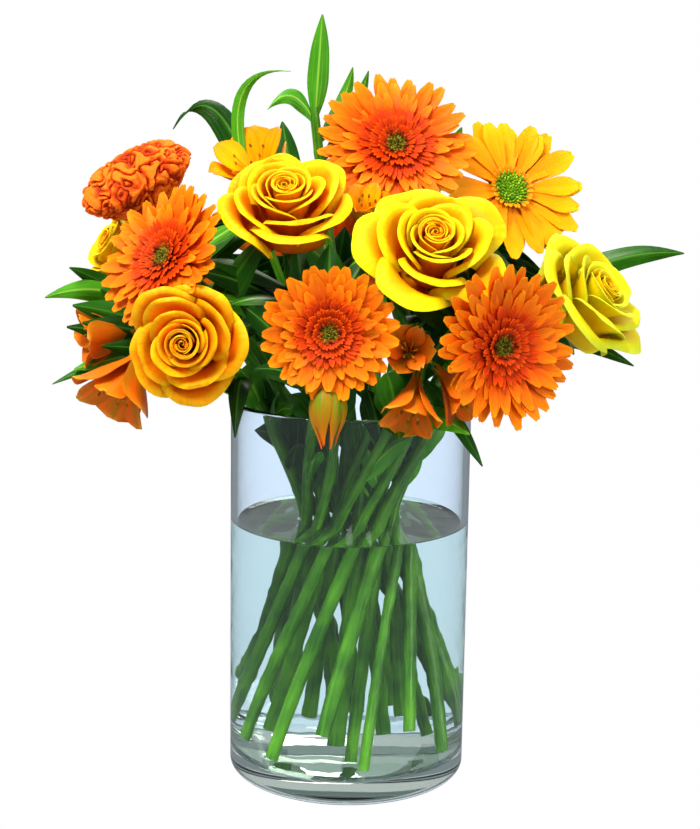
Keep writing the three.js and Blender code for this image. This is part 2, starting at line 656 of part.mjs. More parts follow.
/** Bends the stems' upper parts until each is clear of the others and of every bloom's room. */
function partStems(stems, rooms) {
  const drawn = stems.map((stem) => stem.points.map((place) => place.clone()));
  for (let round = 0; round < ROUTE_ROUNDS; round += 1) {
    stems.forEach((stem, s) => {
      const shifts = stem.points.map((place, i) => place.clone().sub(drawn[s][i]));
      for (let i = 2; i < ROUTE_POINTS - 2; i += 1) {
        const even = shifts[i - 1].clone().add(shifts[i + 1]).multiplyScalar(0.5);
        stem.points[i].copy(drawn[s][i]).add(shifts[i].clone().lerp(even, 0.3));
        for (const other of stems) {
          if (other === stem) continue;
          const { distance, spot } = nearestOn(other.points, stem.points[i]);
          if (distance < STEM_SPACING) {
            const away = stem.points[i].clone().sub(spot).normalize();
            stem.points[i].addScaledVector(away, (STEM_SPACING - distance) * 0.6);
          }
        }
        for (const room of rooms) {
          if (room.owner === stem.name) continue;
          const way = wayOut(room, stem.points[i], stem.radius + 1.2);
          if (way) stem.points[i].add(way.multiplyScalar(0.7));
        }
      }
    });
  }
}

// ---------------------------------------------------------------- leaves
const LEAF_DEPTH = 1.3;
const LEAF_SHARES = [[0, 0.2], [0.36, 1], [0.74, 0.84], [1, 0.08]]; // along the leaf, and of its width

/** An arched pointed leaf from a place on its stem out to its tip, its face turned to the outside. */
function leafBlade(root, { tip, over, width = 13, arch = 8 }, growth) {
  const end = point(...tip);
  const crown = over ? point(...over) : root.clone().lerp(end, 0.5).add(point(0, 0, arch));
  const curve = new THREE.QuadraticBezierCurve3(root, crown, end);
  const across = end.clone().sub(root).cross(point(0, root.y > 30 ? 0.5 : -0.5, 1)).normalize();
  const path = LEAF_SHARES.map(([along]) => curve.getPoint(along));
  return blade(path, LEAF_SHARES.map(([, share]) => share * width + growth), LEAF_DEPTH + growth, across);
}

// ---------------------------------------------------------------- vase and water
/** Points of an arc in a turned profile, from one angle to another in degrees. */
function arc(r, z, radius, fromDeg, toDeg, steps) {
  return Array.from({ length: steps + 1 }, (_, i) => {
    const angle = radians(fromDeg + ((toDeg - fromDeg) * i) / steps);
    return [r + radius * Math.cos(angle), z + radius * Math.sin(angle)];
  });
}

function vaseGlass() {
  const lip = VASE_WALL / 2;
  const inside = VASE_RADIUS - VASE_WALL;
  return turned([
    [0, 0],
    ...arc(VASE_RADIUS - FOOT_ROUNDING, FOOT_ROUNDING, FOOT_ROUNDING, -90, 0, 2),
    ...arc(VASE_RADIUS - lip, VASE_HEIGHT - lip, lip, 0, 180, 2),
    ...arc(inside - INNER_CORNER, VASE_FLOOR + INNER_CORNER, INNER_CORNER, 0, -90, 1),
    [0, VASE_FLOOR],
  ], VASE_SIDES);
}

/** The water, with a straight hole for every stem. */
function vaseWater(stems) {
  const side = VASE_RADIUS - VASE_WALL - GAP;
  const body = turned([
    [0, VASE_FLOOR + GAP],
    ...arc(side - INNER_CORNER, VASE_FLOOR + INNER_CORNER + GAP, INNER_CORNER, -90, 0, 1),
    [side, WATER_LEVEL],
    [0, WATER_LEVEL],
  ], VASE_SIDES);
  const holes = stems.map(({ foot, points, radius }) => {
    const reach = points[0].clone().sub(foot).setLength(4);
    return bar(new THREE.LineCurve3(foot.clone().sub(reach), points[0]), radius + HOLE_CLEARANCE, 1);
  });
  return body.subtract(joined(holes));
}

// ---------------------------------------------------------------- the whole bouquet
const nodes = [];
const random = seededRandom(20);

/** Every bloom: its solids about +Z by node name, its place and the outline of its room. */
function listBlooms() {
  const sprayBlooms = SPRAYS.flatMap(({ name, blooms, petals = "coral" }) => blooms.map((bloom, i) => {
    const solid = bloom.bud ? alstroemeriaBud(bloom) : alstroemeriaBloom(bloom, random);
    return {
      ...bloom,
      owner: name,
      solids: { [`${name}_petals_${i + 1}`]: [solid, petals] },
      outline: bloom.bud ? budRoom(bloom) : sprayRoom(bloom),
    };
  }));
  return [
    ...ROSES.map((flower) => ({
      ...flower,
      owner: flower.name,
      outline: roseRoom(flower),
      solids: { [`${flower.name}_bloom`]: [roseBloom(flower, random), "yellow"] },
    })),
    ...GERBERAS.map((flower) => ({
      ...flower,
      owner: flower.name,
      outline: gerberaRoom(flower),
      solids: {
        [`${flower.name}_rays`]: [gerberaRays(flower, random), flower.single ? "amber" : "orange"],
        [`${flower.name}_disc`]: [gerberaDisc(flower), flower.single ? "lime" : "olive"],
      },
    })),
    {
      ...COCKSCOMB,
      owner: COCKSCOMB.name,
      outline: crestRoom(COCKSCOMB),
      solids: { [`${COCKSCOMB.name}_crest`]: [cockscombCrest(COCKSCOMB), "rust"] },
    },
    ...sprayBlooms,
  ];
}

const ROOM_SIDES = 10;
const ROOM_ALLOWANCE = 1.04; // for the flat sides of a room

/** Sets the blooms in their places; those nearer the front or the back keep their shape. */
function setBlooms(blooms) {
  blooms.sort((a, b) => Math.abs(b.at[1]) - Math.abs(a.at[1]));
  blooms.forEach((bloom, order) => {
    bloom.matrix = stance(bloom.at, bloom.facing);
    bloom.inverse = bloom.matrix.clone().invert();
    const room = bloom.outline.map(([r, z]) => [r * ROOM_ALLOWANCE, z]);
    bloom.space = moved(turned(room, ROOM_SIDES), bloom.matrix);
    const anchor = point(0, 0, 0).applyMatrix4(bloom.matrix);
    for (const [name, [drawn, finish]] of Object.entries(bloom.solids)) {
      let solid = moved(drawn, bloom.matrix);
      for (const nearer of blooms.slice(0, order)) solid = solid.subtract(nearer.space);
      nodes.push({ name, solid: pieceAt(solid, anchor), finish, place: bloom });
    }
  });
}

/** Every stem: its ring and slot, where it ends and from which way, and what it carries. */
function listStems() {
  const below = (flower, depth) => {
    const forward = point(...flower.facing).normalize();
    return { end: point(...flower.at).addScaledVector(forward, -depth), arrival: forward };
  };
  const upTo = (end) => ({
    end: point(...end),
    arrival: point(...end).sub(point(0, 0, 200)).normalize(),
  });
  const headed = (flower, depth, cup) => ({
    ...flower,
    ...below(flower, depth),
    radius: STEM_RADII.head,
    crown: moved(cup, stance(flower.at, flower.facing)),
  });
  const crest = below(COCKSCOMB, COCKSCOMB.size[2] + GAP);
  const listed = [
    ...ROSES.map((flower) => headed(flower, ROSE_DEPTH + 8, roseSepals(random))),
    ...GERBERAS.map((flower) => headed(flower, CALYX_DEPTH - 4, gerberaCalyx(flower))),
    { ...COCKSCOMB, ...crest, radius: STEM_RADII.crest },
    ...SPRAYS.map((spray) => ({ ...spray, ...upTo(spray.fork), radius: STEM_RADII.spray })),
    ...SHOOTS.map((shoot) => ({ ...shoot, ...upTo(shoot.top), radius: STEM_RADII.shoot })),
  ];
  return listed.map((stem) => ({ ...stem, ...firstRoute(stem) }));
}

/** The short stalk from a spray's fork to one of its blooms. */
function stalk(stem, bloom) {
  const forward = point(...bloom.facing).normalize();
  const base = point(...bloom.at).addScaledVector(forward, -bloom.length - GAP);
  const start = stem.end.clone().addScaledVector(stem.arrival, -2);
  const bend = stem.end.clone().lerp(base, 0.4).addScaledVector(stem.arrival, 3);
  const approach = base.clone().addScaledVector(forward, -12);
  return bar(new THREE.CubicBezierCurve3(start, bend, approach, base), STEM_RADII.stalk, 3, 4);
}

/** A stem's way: straight up through the water in its first step, then along its route. */
class StemCurve extends THREE.Curve {
  constructor({ foot, points }) {
    super();
    this.straight = new THREE.LineCurve3(foot, points[0]);
    this.route = new THREE.CatmullRomCurve3(points);
  }

  getPoint(t) {
    const steps = t * STEM_STEPS;
    if (steps <= 1) return this.straight.getPoint(steps);
    return this.route.getPoint((steps - 1) / (STEM_STEPS - 1));
  }

  // Sections fall evenly by step, not by length.
  getUtoTmapping(u) {
    return u;
  }
}

const stemBar = (stem, radius) => bar(new StemCurve(stem), radius, STEM_STEPS);

/** Draws the stems, then the leaves on them, each leaf cut back where something else stands. */
function setStems(stems, blooms) {
  for (const stem of stems) {
    stem.solid = joined([stemBar(stem, stem.radius), ...(stem.crown ? [stem.crown] : []),
      ...(stem.blooms ?? []).map((bloom) => stalk(stem, bloom))]);
    stem.space = stemBar(stem, stem.radius + LEAF_CLEARANCE);
  }
  const placed = [];
  for (const stem of stems) {
    const way = new THREE.CatmullRomCurve3(stem.points).getPoints(60);
    for (const leaf of stem.leaves ?? []) {
      const root = way.toSorted((a, b) => Math.abs(a.z - leaf.z) - Math.abs(b.z - leaf.z))[0];
      let solid = leafBlade(root, leaf, 0);
      for (const bloom of blooms) solid = solid.subtract(bloom.space);
      for (const other of stems) if (other !== stem) solid = solid.subtract(other.space);
      for (const { owner, space } of placed) if (owner !== stem) solid = solid.subtract(space);
      solid = pieceAt(solid, root);
      if (solid.intersect(stem.solid).volume() < 1) continue;
      placed.push({ owner: stem, space: leafBlade(root, leaf, 2 * GAP) });
      stem.solid = stem.solid.add(solid);
    }
    nodes.push({ name: `${stem.name}_stem`, solid: stem.solid, finish: "green" });
  }
}

const blooms = listBlooms();
setBlooms(blooms);
const stems = listStems();
partStems(stems, [...blooms, glassRoom]);
setStems(stems, blooms);
nodes.unshift({ name: "vase", solid: vaseGlass(), finish: "glass" },
  { name: "water", solid: vaseWater(stems), finish: "water" });

const bouquet = new THREE.Group();
for (const { name, solid, finish, place } of nodes) {
  const local = place ? moved(solid, place.inverse) : solid;
  const { vertProperties, triVerts } = largest(local.simplify(SMALLEST_EDGE).decompose()).getMesh();
  const geometry = new THREE.BufferGeometry();
  geometry.setAttribute("position", new THREE.BufferAttribute(vertProperties, 3));
  geometry.setIndex(new THREE.BufferAttribute(triVerts, 1));
  geometry.computeVertexNormals();
  const mesh = new THREE.Mesh(geometry, new THREE.MeshStandardMaterial(FINISHES[finish]));
  mesh.name = name;
  if (place) mesh.applyMatrix4(place.matrix);
  bouquet.add(mesh);
}
export default bouquet;
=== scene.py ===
"""Orange gerberas, yellow roses and mixed stems in a clear glass cylinder of water.

The shapes are drawn in millimetres in the bouquet's own frame: +Z up the vase's axis, -Y towards
the viewer. Each piece is turned into metres when it is finished.
"""

from __future__ import annotations

import logging
import math
from collections.abc import Sequence
from dataclasses import dataclass
from enum import Enum

import bpy
import numpy as np
from mathutils import Matrix, Vector
from mathutils.bvhtree import BVHTree


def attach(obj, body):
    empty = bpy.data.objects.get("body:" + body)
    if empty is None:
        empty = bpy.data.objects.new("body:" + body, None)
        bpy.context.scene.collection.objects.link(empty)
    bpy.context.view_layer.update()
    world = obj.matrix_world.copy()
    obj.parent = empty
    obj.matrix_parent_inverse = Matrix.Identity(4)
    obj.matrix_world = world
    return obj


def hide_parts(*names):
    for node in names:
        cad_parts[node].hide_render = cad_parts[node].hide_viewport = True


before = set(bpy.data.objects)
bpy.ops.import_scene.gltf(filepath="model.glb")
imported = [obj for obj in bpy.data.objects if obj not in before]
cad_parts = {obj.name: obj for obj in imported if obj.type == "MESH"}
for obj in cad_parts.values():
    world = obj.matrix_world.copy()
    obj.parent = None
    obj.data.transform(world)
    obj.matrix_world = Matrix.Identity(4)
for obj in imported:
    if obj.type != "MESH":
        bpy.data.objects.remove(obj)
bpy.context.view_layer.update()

LOG = logging.getLogger("bouquet")
METRES = 0.001
GOLDEN_ANGLE = math.radians(137.508)

Array = np.ndarray
Random = np.random.Generator
Object = bpy.types.Object
Material = bpy.types.Material
Pair = tuple[float, float]
Place = tuple[float, float, float]
Gradient = Sequence[tuple[float, str]]
Surface = tuple[Array, list[Array], Array]
Socket = bpy.types.NodeSocket


class Slot(Enum):
    """The record's material slots."""

    GLASS = "glass"
    WATER = "water"
    ORANGE = "orange_petals"
    AMBER = "amber_petals"
    YELLOW = "yellow_petals"
    CORAL = "coral_petals"
    RUST = "rust_crest"
    OLIVE = "olive_disc"
    LIME = "lime_disc"
    GREEN = "green_stems"


# ---- helpers
def linear(colour: str) -> tuple[float, float, float, float]:
    """Turn an sRGB hex colour into Blender's linear one.

    Args:
        colour: Six hex digits after a hash sign.

    Returns:
        Red, green, blue and alpha.
    """
    parts = [int(colour[i:i + 2], 16) / 255 for i in (1, 3, 5)]
    return (*(c / 12.92 if c <= 0.04045 else ((c + 0.055) / 1.055) ** 2.4 for c in parts), 1.0)


def add_node(tree: bpy.types.NodeTree, kind: str, inputs: dict | None = None,
             stops: Gradient = (), **settings: object) -> bpy.types.Node:
    """Add a node to a tree, with its settings, constants and links.

    Args:
        tree: The node tree that takes the node.
        kind: Blender's name for the type of node.
        inputs: A socket's name or number, and the socket, constant or hex colour that it gets.
        stops: Place and hex colour of each stop of a colour ramp.
        settings: The node's own properties.

    Returns:
        The new node.
    """
    node = tree.nodes.new(kind)
    for key, value in settings.items():
        setattr(node, key, value)
    if stops:
        elements = node.color_ramp.elements
        elements.remove(elements[1])
        for i, (place, colour) in enumerate(stops):
            element = elements.new(place) if i else elements[0]
            element.position = place
            element.color = linear(colour)
    for key, value in (inputs or {}).items():
        socket = node.inputs[key]
        if isinstance(value, Socket):
            tree.links.new(value, socket)
        elif isinstance(value, str) and socket.type == "RGBA":
            socket.default_value = linear(value)
        else:
            socket.default_value = value
    return node


class NodeSheet:
    """A node tree under work, with a short method for each node that it often takes."""

    def __init__(self, tree: bpy.types.NodeTree) -> None:
        """Work on the given tree."""
        self.tree = tree

    def node(self, kind: str, inputs: dict | None = None, out: int | str = 0,
             **settings: object) -> Socket:
        """Add a node and return one of its outputs."""
        return add_node(self.tree, kind, inputs, **settings).outputs[out]

    def math(self, operation: str, *values: object, **settings: object) -> Socket:
        """Combine numbers or fields."""
        return self.node("ShaderNodeMath", dict(enumerate(values)), operation=operation,
                         **settings)

    def vectors(self, operation: str, *values: object, out: int | str = 0) -> Socket:
        """Combine vectors."""
        return self.node("ShaderNodeVectorMath", dict(enumerate(values)), out,
                         operation=operation)

    def scaled(self, vector: Socket, factor: object) -> Socket:
        """A vector times a number."""
        return self.node("ShaderNodeVectorMath", {0: vector, "Scale": factor}, operation="SCALE")

    def xyz(self, *parts: object) -> Socket:
        """A vector from three numbers."""
        return self.node("ShaderNodeCombineXYZ", dict(enumerate(parts)))

    def split(self, vector: Socket) -> bpy.types.NodeOutputs:
        """The three numbers of a vector."""
        return add_node(self.tree, "ShaderNodeSeparateXYZ", {0: vector}).outputs

    def noise(self, scale: object, detail: float = 2.0, out: int = 0,
              **inputs: object) -> Socket:
        """A soft noise; a W among its inputs tells one copy from another."""
        return self.node("ShaderNodeTexNoise", {"Scale": scale, "Detail": detail, **inputs}, out,
                         noise_dimensions="4D" if "W" in inputs else "3D")

    def mapped(self, value: Socket, source: Pair = (0.0, 1.0),
               target: Pair = (0.0, 1.0)) -> Socket:
        """Stretch one span of numbers to another, and hold its ends."""
        return self.node("ShaderNodeMapRange", {
            "Value": value, "From Min": source[0], "From Max": source[1],
            "To Min": target[0], "To Max": target[1]})

    def blend(self, share: Socket, first: Socket | str, second: Socket | str) -> Socket:
        """Mix two colours."""
        return self.node("ShaderNodeMix", {0: share, 6: first, 7: second}, 2, data_type="RGBA")


def unit(vector: Sequence[float] | Array) -> Array:
    """Scale vectors to a length of one."""
    vector = np.asarray(vector, float)
    return vector / np.maximum(np.linalg.norm(vector, axis=-1, keepdims=True), 1e-9)


def smooth_curve(knots: Sequence[Sequence[float]] | Array, shares: Array) -> Array:
    """Follow a rounded line through its knots.

    Args:
        knots: Points of any size, evenly spaced in share.
        shares: Places along the line, from 0 to 1.

    Returns:
        One point for each share.
    """
    knots = np.asarray(knots, float)
    ends = np.vstack([2 * knots[:1] - knots[1:2], knots, 2 * knots[-1:] - knots[-2:-1]])
    place = np.clip(np.asarray(shares, float), 0, 1) * (len(knots) - 1)
    first = np.minimum(place.astype(int), len(knots) - 2)
    t = (place - first)[..., None]
    a, b, c, d = (ends[first + i] for i in range(4))
    return 0.5 * (2 * b + (c - a) * t + (2 * a - 5 * b + 4 * c - d) * t**2
                  + (3 * b - a - 3 * c + d) * t**3)


def smooth_number(knots: Sequence[float], shares: Array) -> Array:
    """Follow one number through its knots."""
    return smooth_curve(np.reshape(knots, (-1, 1)), shares)[..., 0]


def bezier(corners: Sequence[Array], shares: Array) -> Array:
    """Points of a Bezier curve with any number of corners."""
    layers = [np.broadcast_to(c, (len(shares), 3)) for c in corners]
    t = shares[:, None]
    while len(layers) > 1:
        layers = [a * (1 - t) + b * t for a, b in zip(layers, layers[1:])]
    return layers[0]


def stance(at: Sequence[float], facing: Sequence[float]) -> Matrix:
    """The turn and shift that set a bloom, drawn about +Z at the origin, at its place."""
    forward = unit(facing)
    right = unit(np.cross((0, 0, 1), forward))
    turn = np.eye(4)
    turn[:3, :3] = np.column_stack([right, np.cross(forward, right), forward])
    turn[:3, 3] = at
    return Matrix(turn.tolist())


def skin_rings(rings: Array, ends: Sequence[Sequence[float]], along: Array) -> Surface:
    """Close a stack of rings of points, rising along their axis, into one surface.

    Args:
        rings: Rows of points, each once round the axis.
        ends: The points that close the stack at its first ring and at its last.
        along: Each ring's share of the way, for the UV places.

    Returns:
        The points, the faces by their number of corners, and a UV place for each point.
    """
    rows, sides = rings.shape[:2]
    index = np.arange(rows * sides).reshape(rows, sides)
    after = np.roll(index, -1, 1)
    quads = np.stack([index[:-1], after[:-1], after[1:], index[1:]], -1).reshape(-1, 4)
    low = np.stack([np.full(sides, index.size), after[0], index[0]], -1)
    high = np.stack([np.full(sides, index.size + 1), index[-1], after[-1]], -1)
    place = np.stack(np.meshgrid(np.arange(sides) / sides, along), -1).reshape(-1, 2)
    return (np.vstack([rings.reshape(-1, 3), ends]), [quads, low, high],
            np.vstack([place, [[0.5, 0], [0.5, 1]]]))


def lathe(profile: Array, sides: int) -> Surface:
    """Turn a profile about +Z into a closed surface.

    Args:
        profile: Radius and height from one end of the axis to the other, ends on the axis.
        sides: Steps round the axis.

    Returns:
        The points, the faces by their number of corners, and a UV place for each point.
    """
    angles = np.arange(sides) / sides * 2 * math.pi
    radii, heights = profile[1:-1].T
    rings = np.stack([np.outer(radii, np.cos(angles)), np.outer(radii, np.sin(angles)),
                      np.repeat(heights[:, None], sides, 1)], -1)
    ends = [(0, 0, profile[0, 1]), (0, 0, profile[-1, 1])]
    return skin_rings(rings, ends, np.linspace(0, 1, len(profile))[1:-1])


def tube(path: Array, radii: Array, sides: int) -> Surface:
    """A round thread along a path, closed at both ends."""
    along = unit(np.gradient(path, axis=0))
    side = unit(np.cross(along, (0.31, 0.87, 0.38)))
    other = np.cross(along, side)
    angles = np.arange(sides) / sides * 2 * math.pi
    rings = path[:, None] + radii[:, None, None] * (
        side[:, None] * np.cos(angles)[None, :, None]
        + other[:, None] * np.sin(angles)[None, :, None])
    return skin_rings(rings, [rings[0].mean(0), rings[-1].mean(0)], np.linspace(0, 1, len(path)))


def arc(centre: Pair, radius: float, start: float, end: float, steps: int = 8) -> list[Pair]:
    """Points of an arc in a turned profile, its angles in degrees."""
    turns = np.radians(np.linspace(start, end, steps + 1))
    return [(centre[0] + radius * math.cos(a), centre[1] + radius * math.sin(a)) for a in turns]


def fold_phase(node: str, place: Matrix, reach: float, fold: int) -> complex:
    """Find how the farthest points of a packed bloom, which recur round it, are turned.

    Args:
        node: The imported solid.
        place: How the bloom stands.
        reach: Points nearer to the bloom's axis don't count.
        fold: How often the points recur in a full turn.

    Returns:
        A number whose angle is their turn times the fold.
    """
    back = place.inverted()
    points = np.array([back @ (v.co / METRES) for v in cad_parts[node].data.vertices])
    far = points[np.hypot(points[:, 0], points[:, 1]) > reach]
    return np.exp(fold * 1j * np.arctan2(far[:, 1], far[:, 0])).sum()


def read(data: bpy.types.bpy_prop_collection, name: str, kind: type = float) -> Array:
    """One property of all the elements of a mesh, in one row."""
    value = getattr(data[0], name) if len(data) else 0
    values = np.zeros(len(data) * (len(value) if hasattr(value, "__len__") else 1), kind)
    data.foreach_get(name, values)
    return values


def new_object(name: str, data: bpy.types.ID) -> Object:
    """Make an object and put it in the scene."""
    made = bpy.data.objects.new(name, data)
    bpy.context.scene.collection.objects.link(made)
    return made


def drop(drawn: Object) -> None:
    """Remove a scratch object and its mesh."""
    mesh = drawn.data
    bpy.data.objects.remove(drawn)
    bpy.data.meshes.remove(mesh)


class MeshDraft:
    """Closed surfaces gathered in millimetres, which become one finished object in metres."""

    FIBRE_TURNS = 20.0  # how far a surface's fibres run along it, in their own units
    SHARP = math.radians(60)  # steeper edges stay edges

    def __init__(self) -> None:
        """Start with nothing drawn."""
        self.points: list[Array] = []
        self.corners: list[Array] = []
        self.sizes: list[Array] = []
        self.uvs: list[Array] = []
        self.shades: list[Array] = []
        self.fibres: list[Array] = []
        self.numbers: list[Array] = []
        self.finishes: list[Material | None] = []
        self.count = 0

    def number(self, finish: Material | None) -> int:
        """The finish's number in the object, a new one when it comes for the first time."""
        if finish not in self.finishes:
            self.finishes.append(finish)
        return self.finishes.index(finish)

    def add(self, points: Array, faces: Sequence[Array], uv: Array,
            finish: Material | None = None, shade: float = 0.5) -> None:
        """Add a surface.

        Args:
            points: One row for each point.
            faces: Arrays of point numbers, one row for each face.
            uv: A UV place for each point.
            finish: Its material.
            shade: How light the surface is among its fellows, from 0 to 1.
        """
        for group in faces:
            self.corners.append((group + self.count).ravel())
            self.sizes.append(np.full(len(group), group.shape[1]))
            self.uvs.append(uv[group].reshape(-1, 2))
            self.numbers.append(np.full(len(group), self.number(finish)))
        self.points.append(points)
        self.shades.append(np.full(len(points), shade))
        turn = uv[:, 0] * 2 * math.pi
        self.fibres.append(np.stack([np.cos(turn), np.sin(turn), uv[:, 1] * self.FIBRE_TURNS], 1))
        self.count += len(points)

    def add_sheet(self, grid: Array, thickness: float,
                  finish: Material | None = None, shade: float = 0.5) -> None:
        """Add a petal or blade: both faces of a grid of points, and the rim that joins them.

        Args:
            grid: Rows of points along the sheet, each row across it.
            thickness: Distance between the two faces.
            finish: Its material.
            shade: How light the sheet is among its fellows, from 0 to 1.
        """
        rows, columns = grid.shape[:2]
        normal = unit(np.cross(np.gradient(grid, axis=1), np.gradient(grid, axis=0)))
        points = np.concatenate([grid + normal * thickness / 2, grid - normal * thickness / 2])
        top = np.arange(rows * columns).reshape(rows, columns)
        under = top.size
        a, b, c, d = top[:-1, :-1], top[:-1, 1:], top[1:, 1:], top[1:, :-1]
        rim = np.concatenate([top[0, :-1], top[:-1, -1], top[-1, :0:-1], top[:0:-1, 0]])
        after = np.roll(rim, -1)
        faces = np.concatenate([
            np.stack([a, b, c, d], -1).reshape(-1, 4),
            np.stack([a, d, c, b], -1).reshape(-1, 4) + under,
            np.stack([rim, rim + under, after + under, after], -1),
        ])
        across, along = np.meshgrid(np.linspace(0, 1, columns), np.linspace(0, 1, rows))
        uv = np.tile(np.stack([across, along], -1).reshape(-1, 2), (2, 1))
        self.add(points.reshape(-1, 3), [faces], uv, finish, shade)

    def add_mesh(self, mesh: bpy.types.Mesh) -> None:
        """Add what a node tree has made, and remove its mesh."""
        kept = mesh.attributes
        count, corners = len(mesh.vertices), read(mesh.loops, "vertex_index", int)
        numbers = np.array([self.number(finish) for finish in mesh.materials])
        self.points.append(read(mesh.vertices, "co").reshape(-1, 3))
        self.corners.append(corners + self.count)
        self.sizes.append(read(mesh.polygons, "loop_total", int))
        self.uvs.append(read(kept["UVMap"].data, "vector").reshape(-1, 2) if "UVMap" in kept
                        else np.zeros((len(corners), 2)))
        self.shades.append(read(kept["shade"].data, "value") if "shade" in kept
                           else np.full(count, 0.5))
        self.fibres.append(read(kept["fibre"].data, "vector").reshape(-1, 3) if "fibre" in kept
                           else np.zeros((count, 3)))
        self.numbers.append(numbers[read(mesh.polygons, "material_index", int)])
        self.count += count
        bpy.data.meshes.remove(mesh)

    def join(self, other: MeshDraft) -> None:
        """Take over all that another draft has drawn."""
        own = np.array([self.number(finish) for finish in other.finishes])
        self.numbers += [own[numbers] for numbers in other.numbers]
        self.corners += [corners + self.count for corners in other.corners]
        for name in ("points", "sizes", "uvs", "shades", "fibres"):
            getattr(self, name).extend(getattr(other, name))
        self.count += other.count

    def set_at(self, place: Matrix) -> None:
        """Turn and shift all that is drawn so far."""
        turn = np.array(place)
        self.points = [points @ turn[:3, :3].T + turn[:3, 3] for points in self.points]

    def build(self, name: str, scale: float = METRES) -> Object:
        """Make the object.

        Args:
            name: The piece's name.
            scale: Metres for each unit drawn.

        Returns:
            The object, at the origin, with its place in its mesh.
        """
        mesh = bpy.data.meshes.new(name)
        points, corners = np.concatenate(self.points), np.concatenate(self.corners)
        sizes = np.concatenate(self.sizes)
        mesh.vertices.add(len(points))
        mesh.vertices.foreach_set("co", (points * scale).ravel())
        mesh.loops.add(len(corners))
        mesh.loops.foreach_set("vertex_index", corners)
        mesh.polygons.add(len(sizes))
        mesh.polygons.foreach_set("loop_start", np.cumsum(sizes) - sizes)
        mesh.update(calc_edges=True)
        mesh.uv_layers.new(name="UVMap").data.foreach_set("uv", np.concatenate(self.uvs).ravel())
        shade = mesh.attributes.new("shade", "FLOAT", "POINT").data
        shade.foreach_set("value", np.concatenate(self.shades))
        fibre = mesh.attributes.new("fibre", "FLOAT_VECTOR", "POINT").data
        fibre.foreach_set("vector", np.concatenate(self.fibres).ravel())
        for finish in self.finishes:
            mesh.materials.append(finish)
        mesh.polygons.foreach_set("material_index", np.concatenate(self.numbers))
        mesh.polygons.foreach_set("use_smooth", np.ones(len(sizes), bool))
        mesh.set_sharp_from_angle(angle=self.SHARP)
        mesh.validate()
        return new_object(name, mesh)

    def pattern(self) -> Object:
        """The drawing as a scratch object in millimetres, for a node tree to copy."""
        self.finishes = []
        self.numbers = [numbers * 0 for numbers in self.numbers]
        drawn = self.build("pattern", 1.0)
        for name in ("shade", "fibre"):
            drawn.data.attributes.remove(drawn.data.attributes[name])
        return drawn


def publish(piece: Object, slot: Slot, *nodes: str) -> None:
    """Fix a finished piece to the bouquet's one body, in the place of its solids.

    Args:
        piece: The finished object.
        slot: The record's material slot of the piece; not used.
        nodes: The solids that it stands for.
    """
    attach(piece, "root")
    if nodes:
        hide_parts(*nodes)
    LOG.info("%s: %d faces", piece.name, len(piece.data.polygons))


# ---- node trees
class GrowthTree(NodeSheet):
    """A Geometry Nodes tree with named inputs, run on one object at a time."""

    NAME = "growth"
    INPUTS: dict[str, tuple[str, object]] = {}

    def __init__(self) -> None:
        """Make the tree with its inputs, and let the subclass fill it."""
        super().__init__(bpy.data.node_groups.new(self.NAME, "GeometryNodeTree"))
        face = self.tree.interface
        for name, (kind, value) in {"Geometry": ("Geometry", None), **self.INPUTS}.items():
            socket = face.new_socket(name, in_out="INPUT", socket_type=f"NodeSocket{kind}")
            if value is not None:
                socket.default_value = value
        face.new_socket("Geometry", in_out="OUTPUT", socket_type="NodeSocketGeometry")
        self.given = self.tree.nodes.new("NodeGroupInput").outputs
        real = self.node("GeometryNodeRealizeInstances", {"Geometry": self.grow()})
        dressed = self.node("GeometryNodeSetMaterial", {
            "Geometry": real, "Material": self.given["Material"]})
        add_node(self.tree, "NodeGroupOutput", {"Geometry": dressed})

    def grow(self) -> Socket:
        """Fill the tree and return the geometry that it ends in."""
        raise NotImplementedError

    def keep(self, geometry: Socket, name: str, value: Socket, kind: str = "FLOAT",
             domain: str = "POINT") -> Socket:
        """Store a value on the geometry under a name."""
        return self.node("GeometryNodeStoreNamedAttribute", {
            "Geometry": geometry, "Name": name, "Value": value}, data_type=kind, domain=domain)

    def run(self, base: Object | None = None, **values: object) -> bpy.types.Mesh:
        """Run the tree.

        Args:
            base: Object whose mesh goes in. It is removed afterwards.
            values: Inputs by their names, with underscores for spaces.

        Returns:
            The plain mesh that comes out.
        """
        host = base or new_object("host", bpy.data.meshes.new("host"))
        modifier = host.modifiers.new("growth", "NODES")
        modifier.node_group = self.tree
        sockets = {s.name: s.identifier for s in self.tree.interface.items_tree
                   if s.in_out == "INPUT"}
        for name, value in values.items():
            modifier[sockets[name.replace("_", " ")]] = value
        host.update_tag()
        bpy.context.view_layer.update()
        graph = bpy.context.evaluated_depsgraph_get()
        mesh = bpy.data.meshes.new_from_object(host.evaluated_get(graph), depsgraph=graph,
                                               preserve_all_data_layers=True)
        host.modifiers.remove(modifier)
        drop(host)
        return mesh


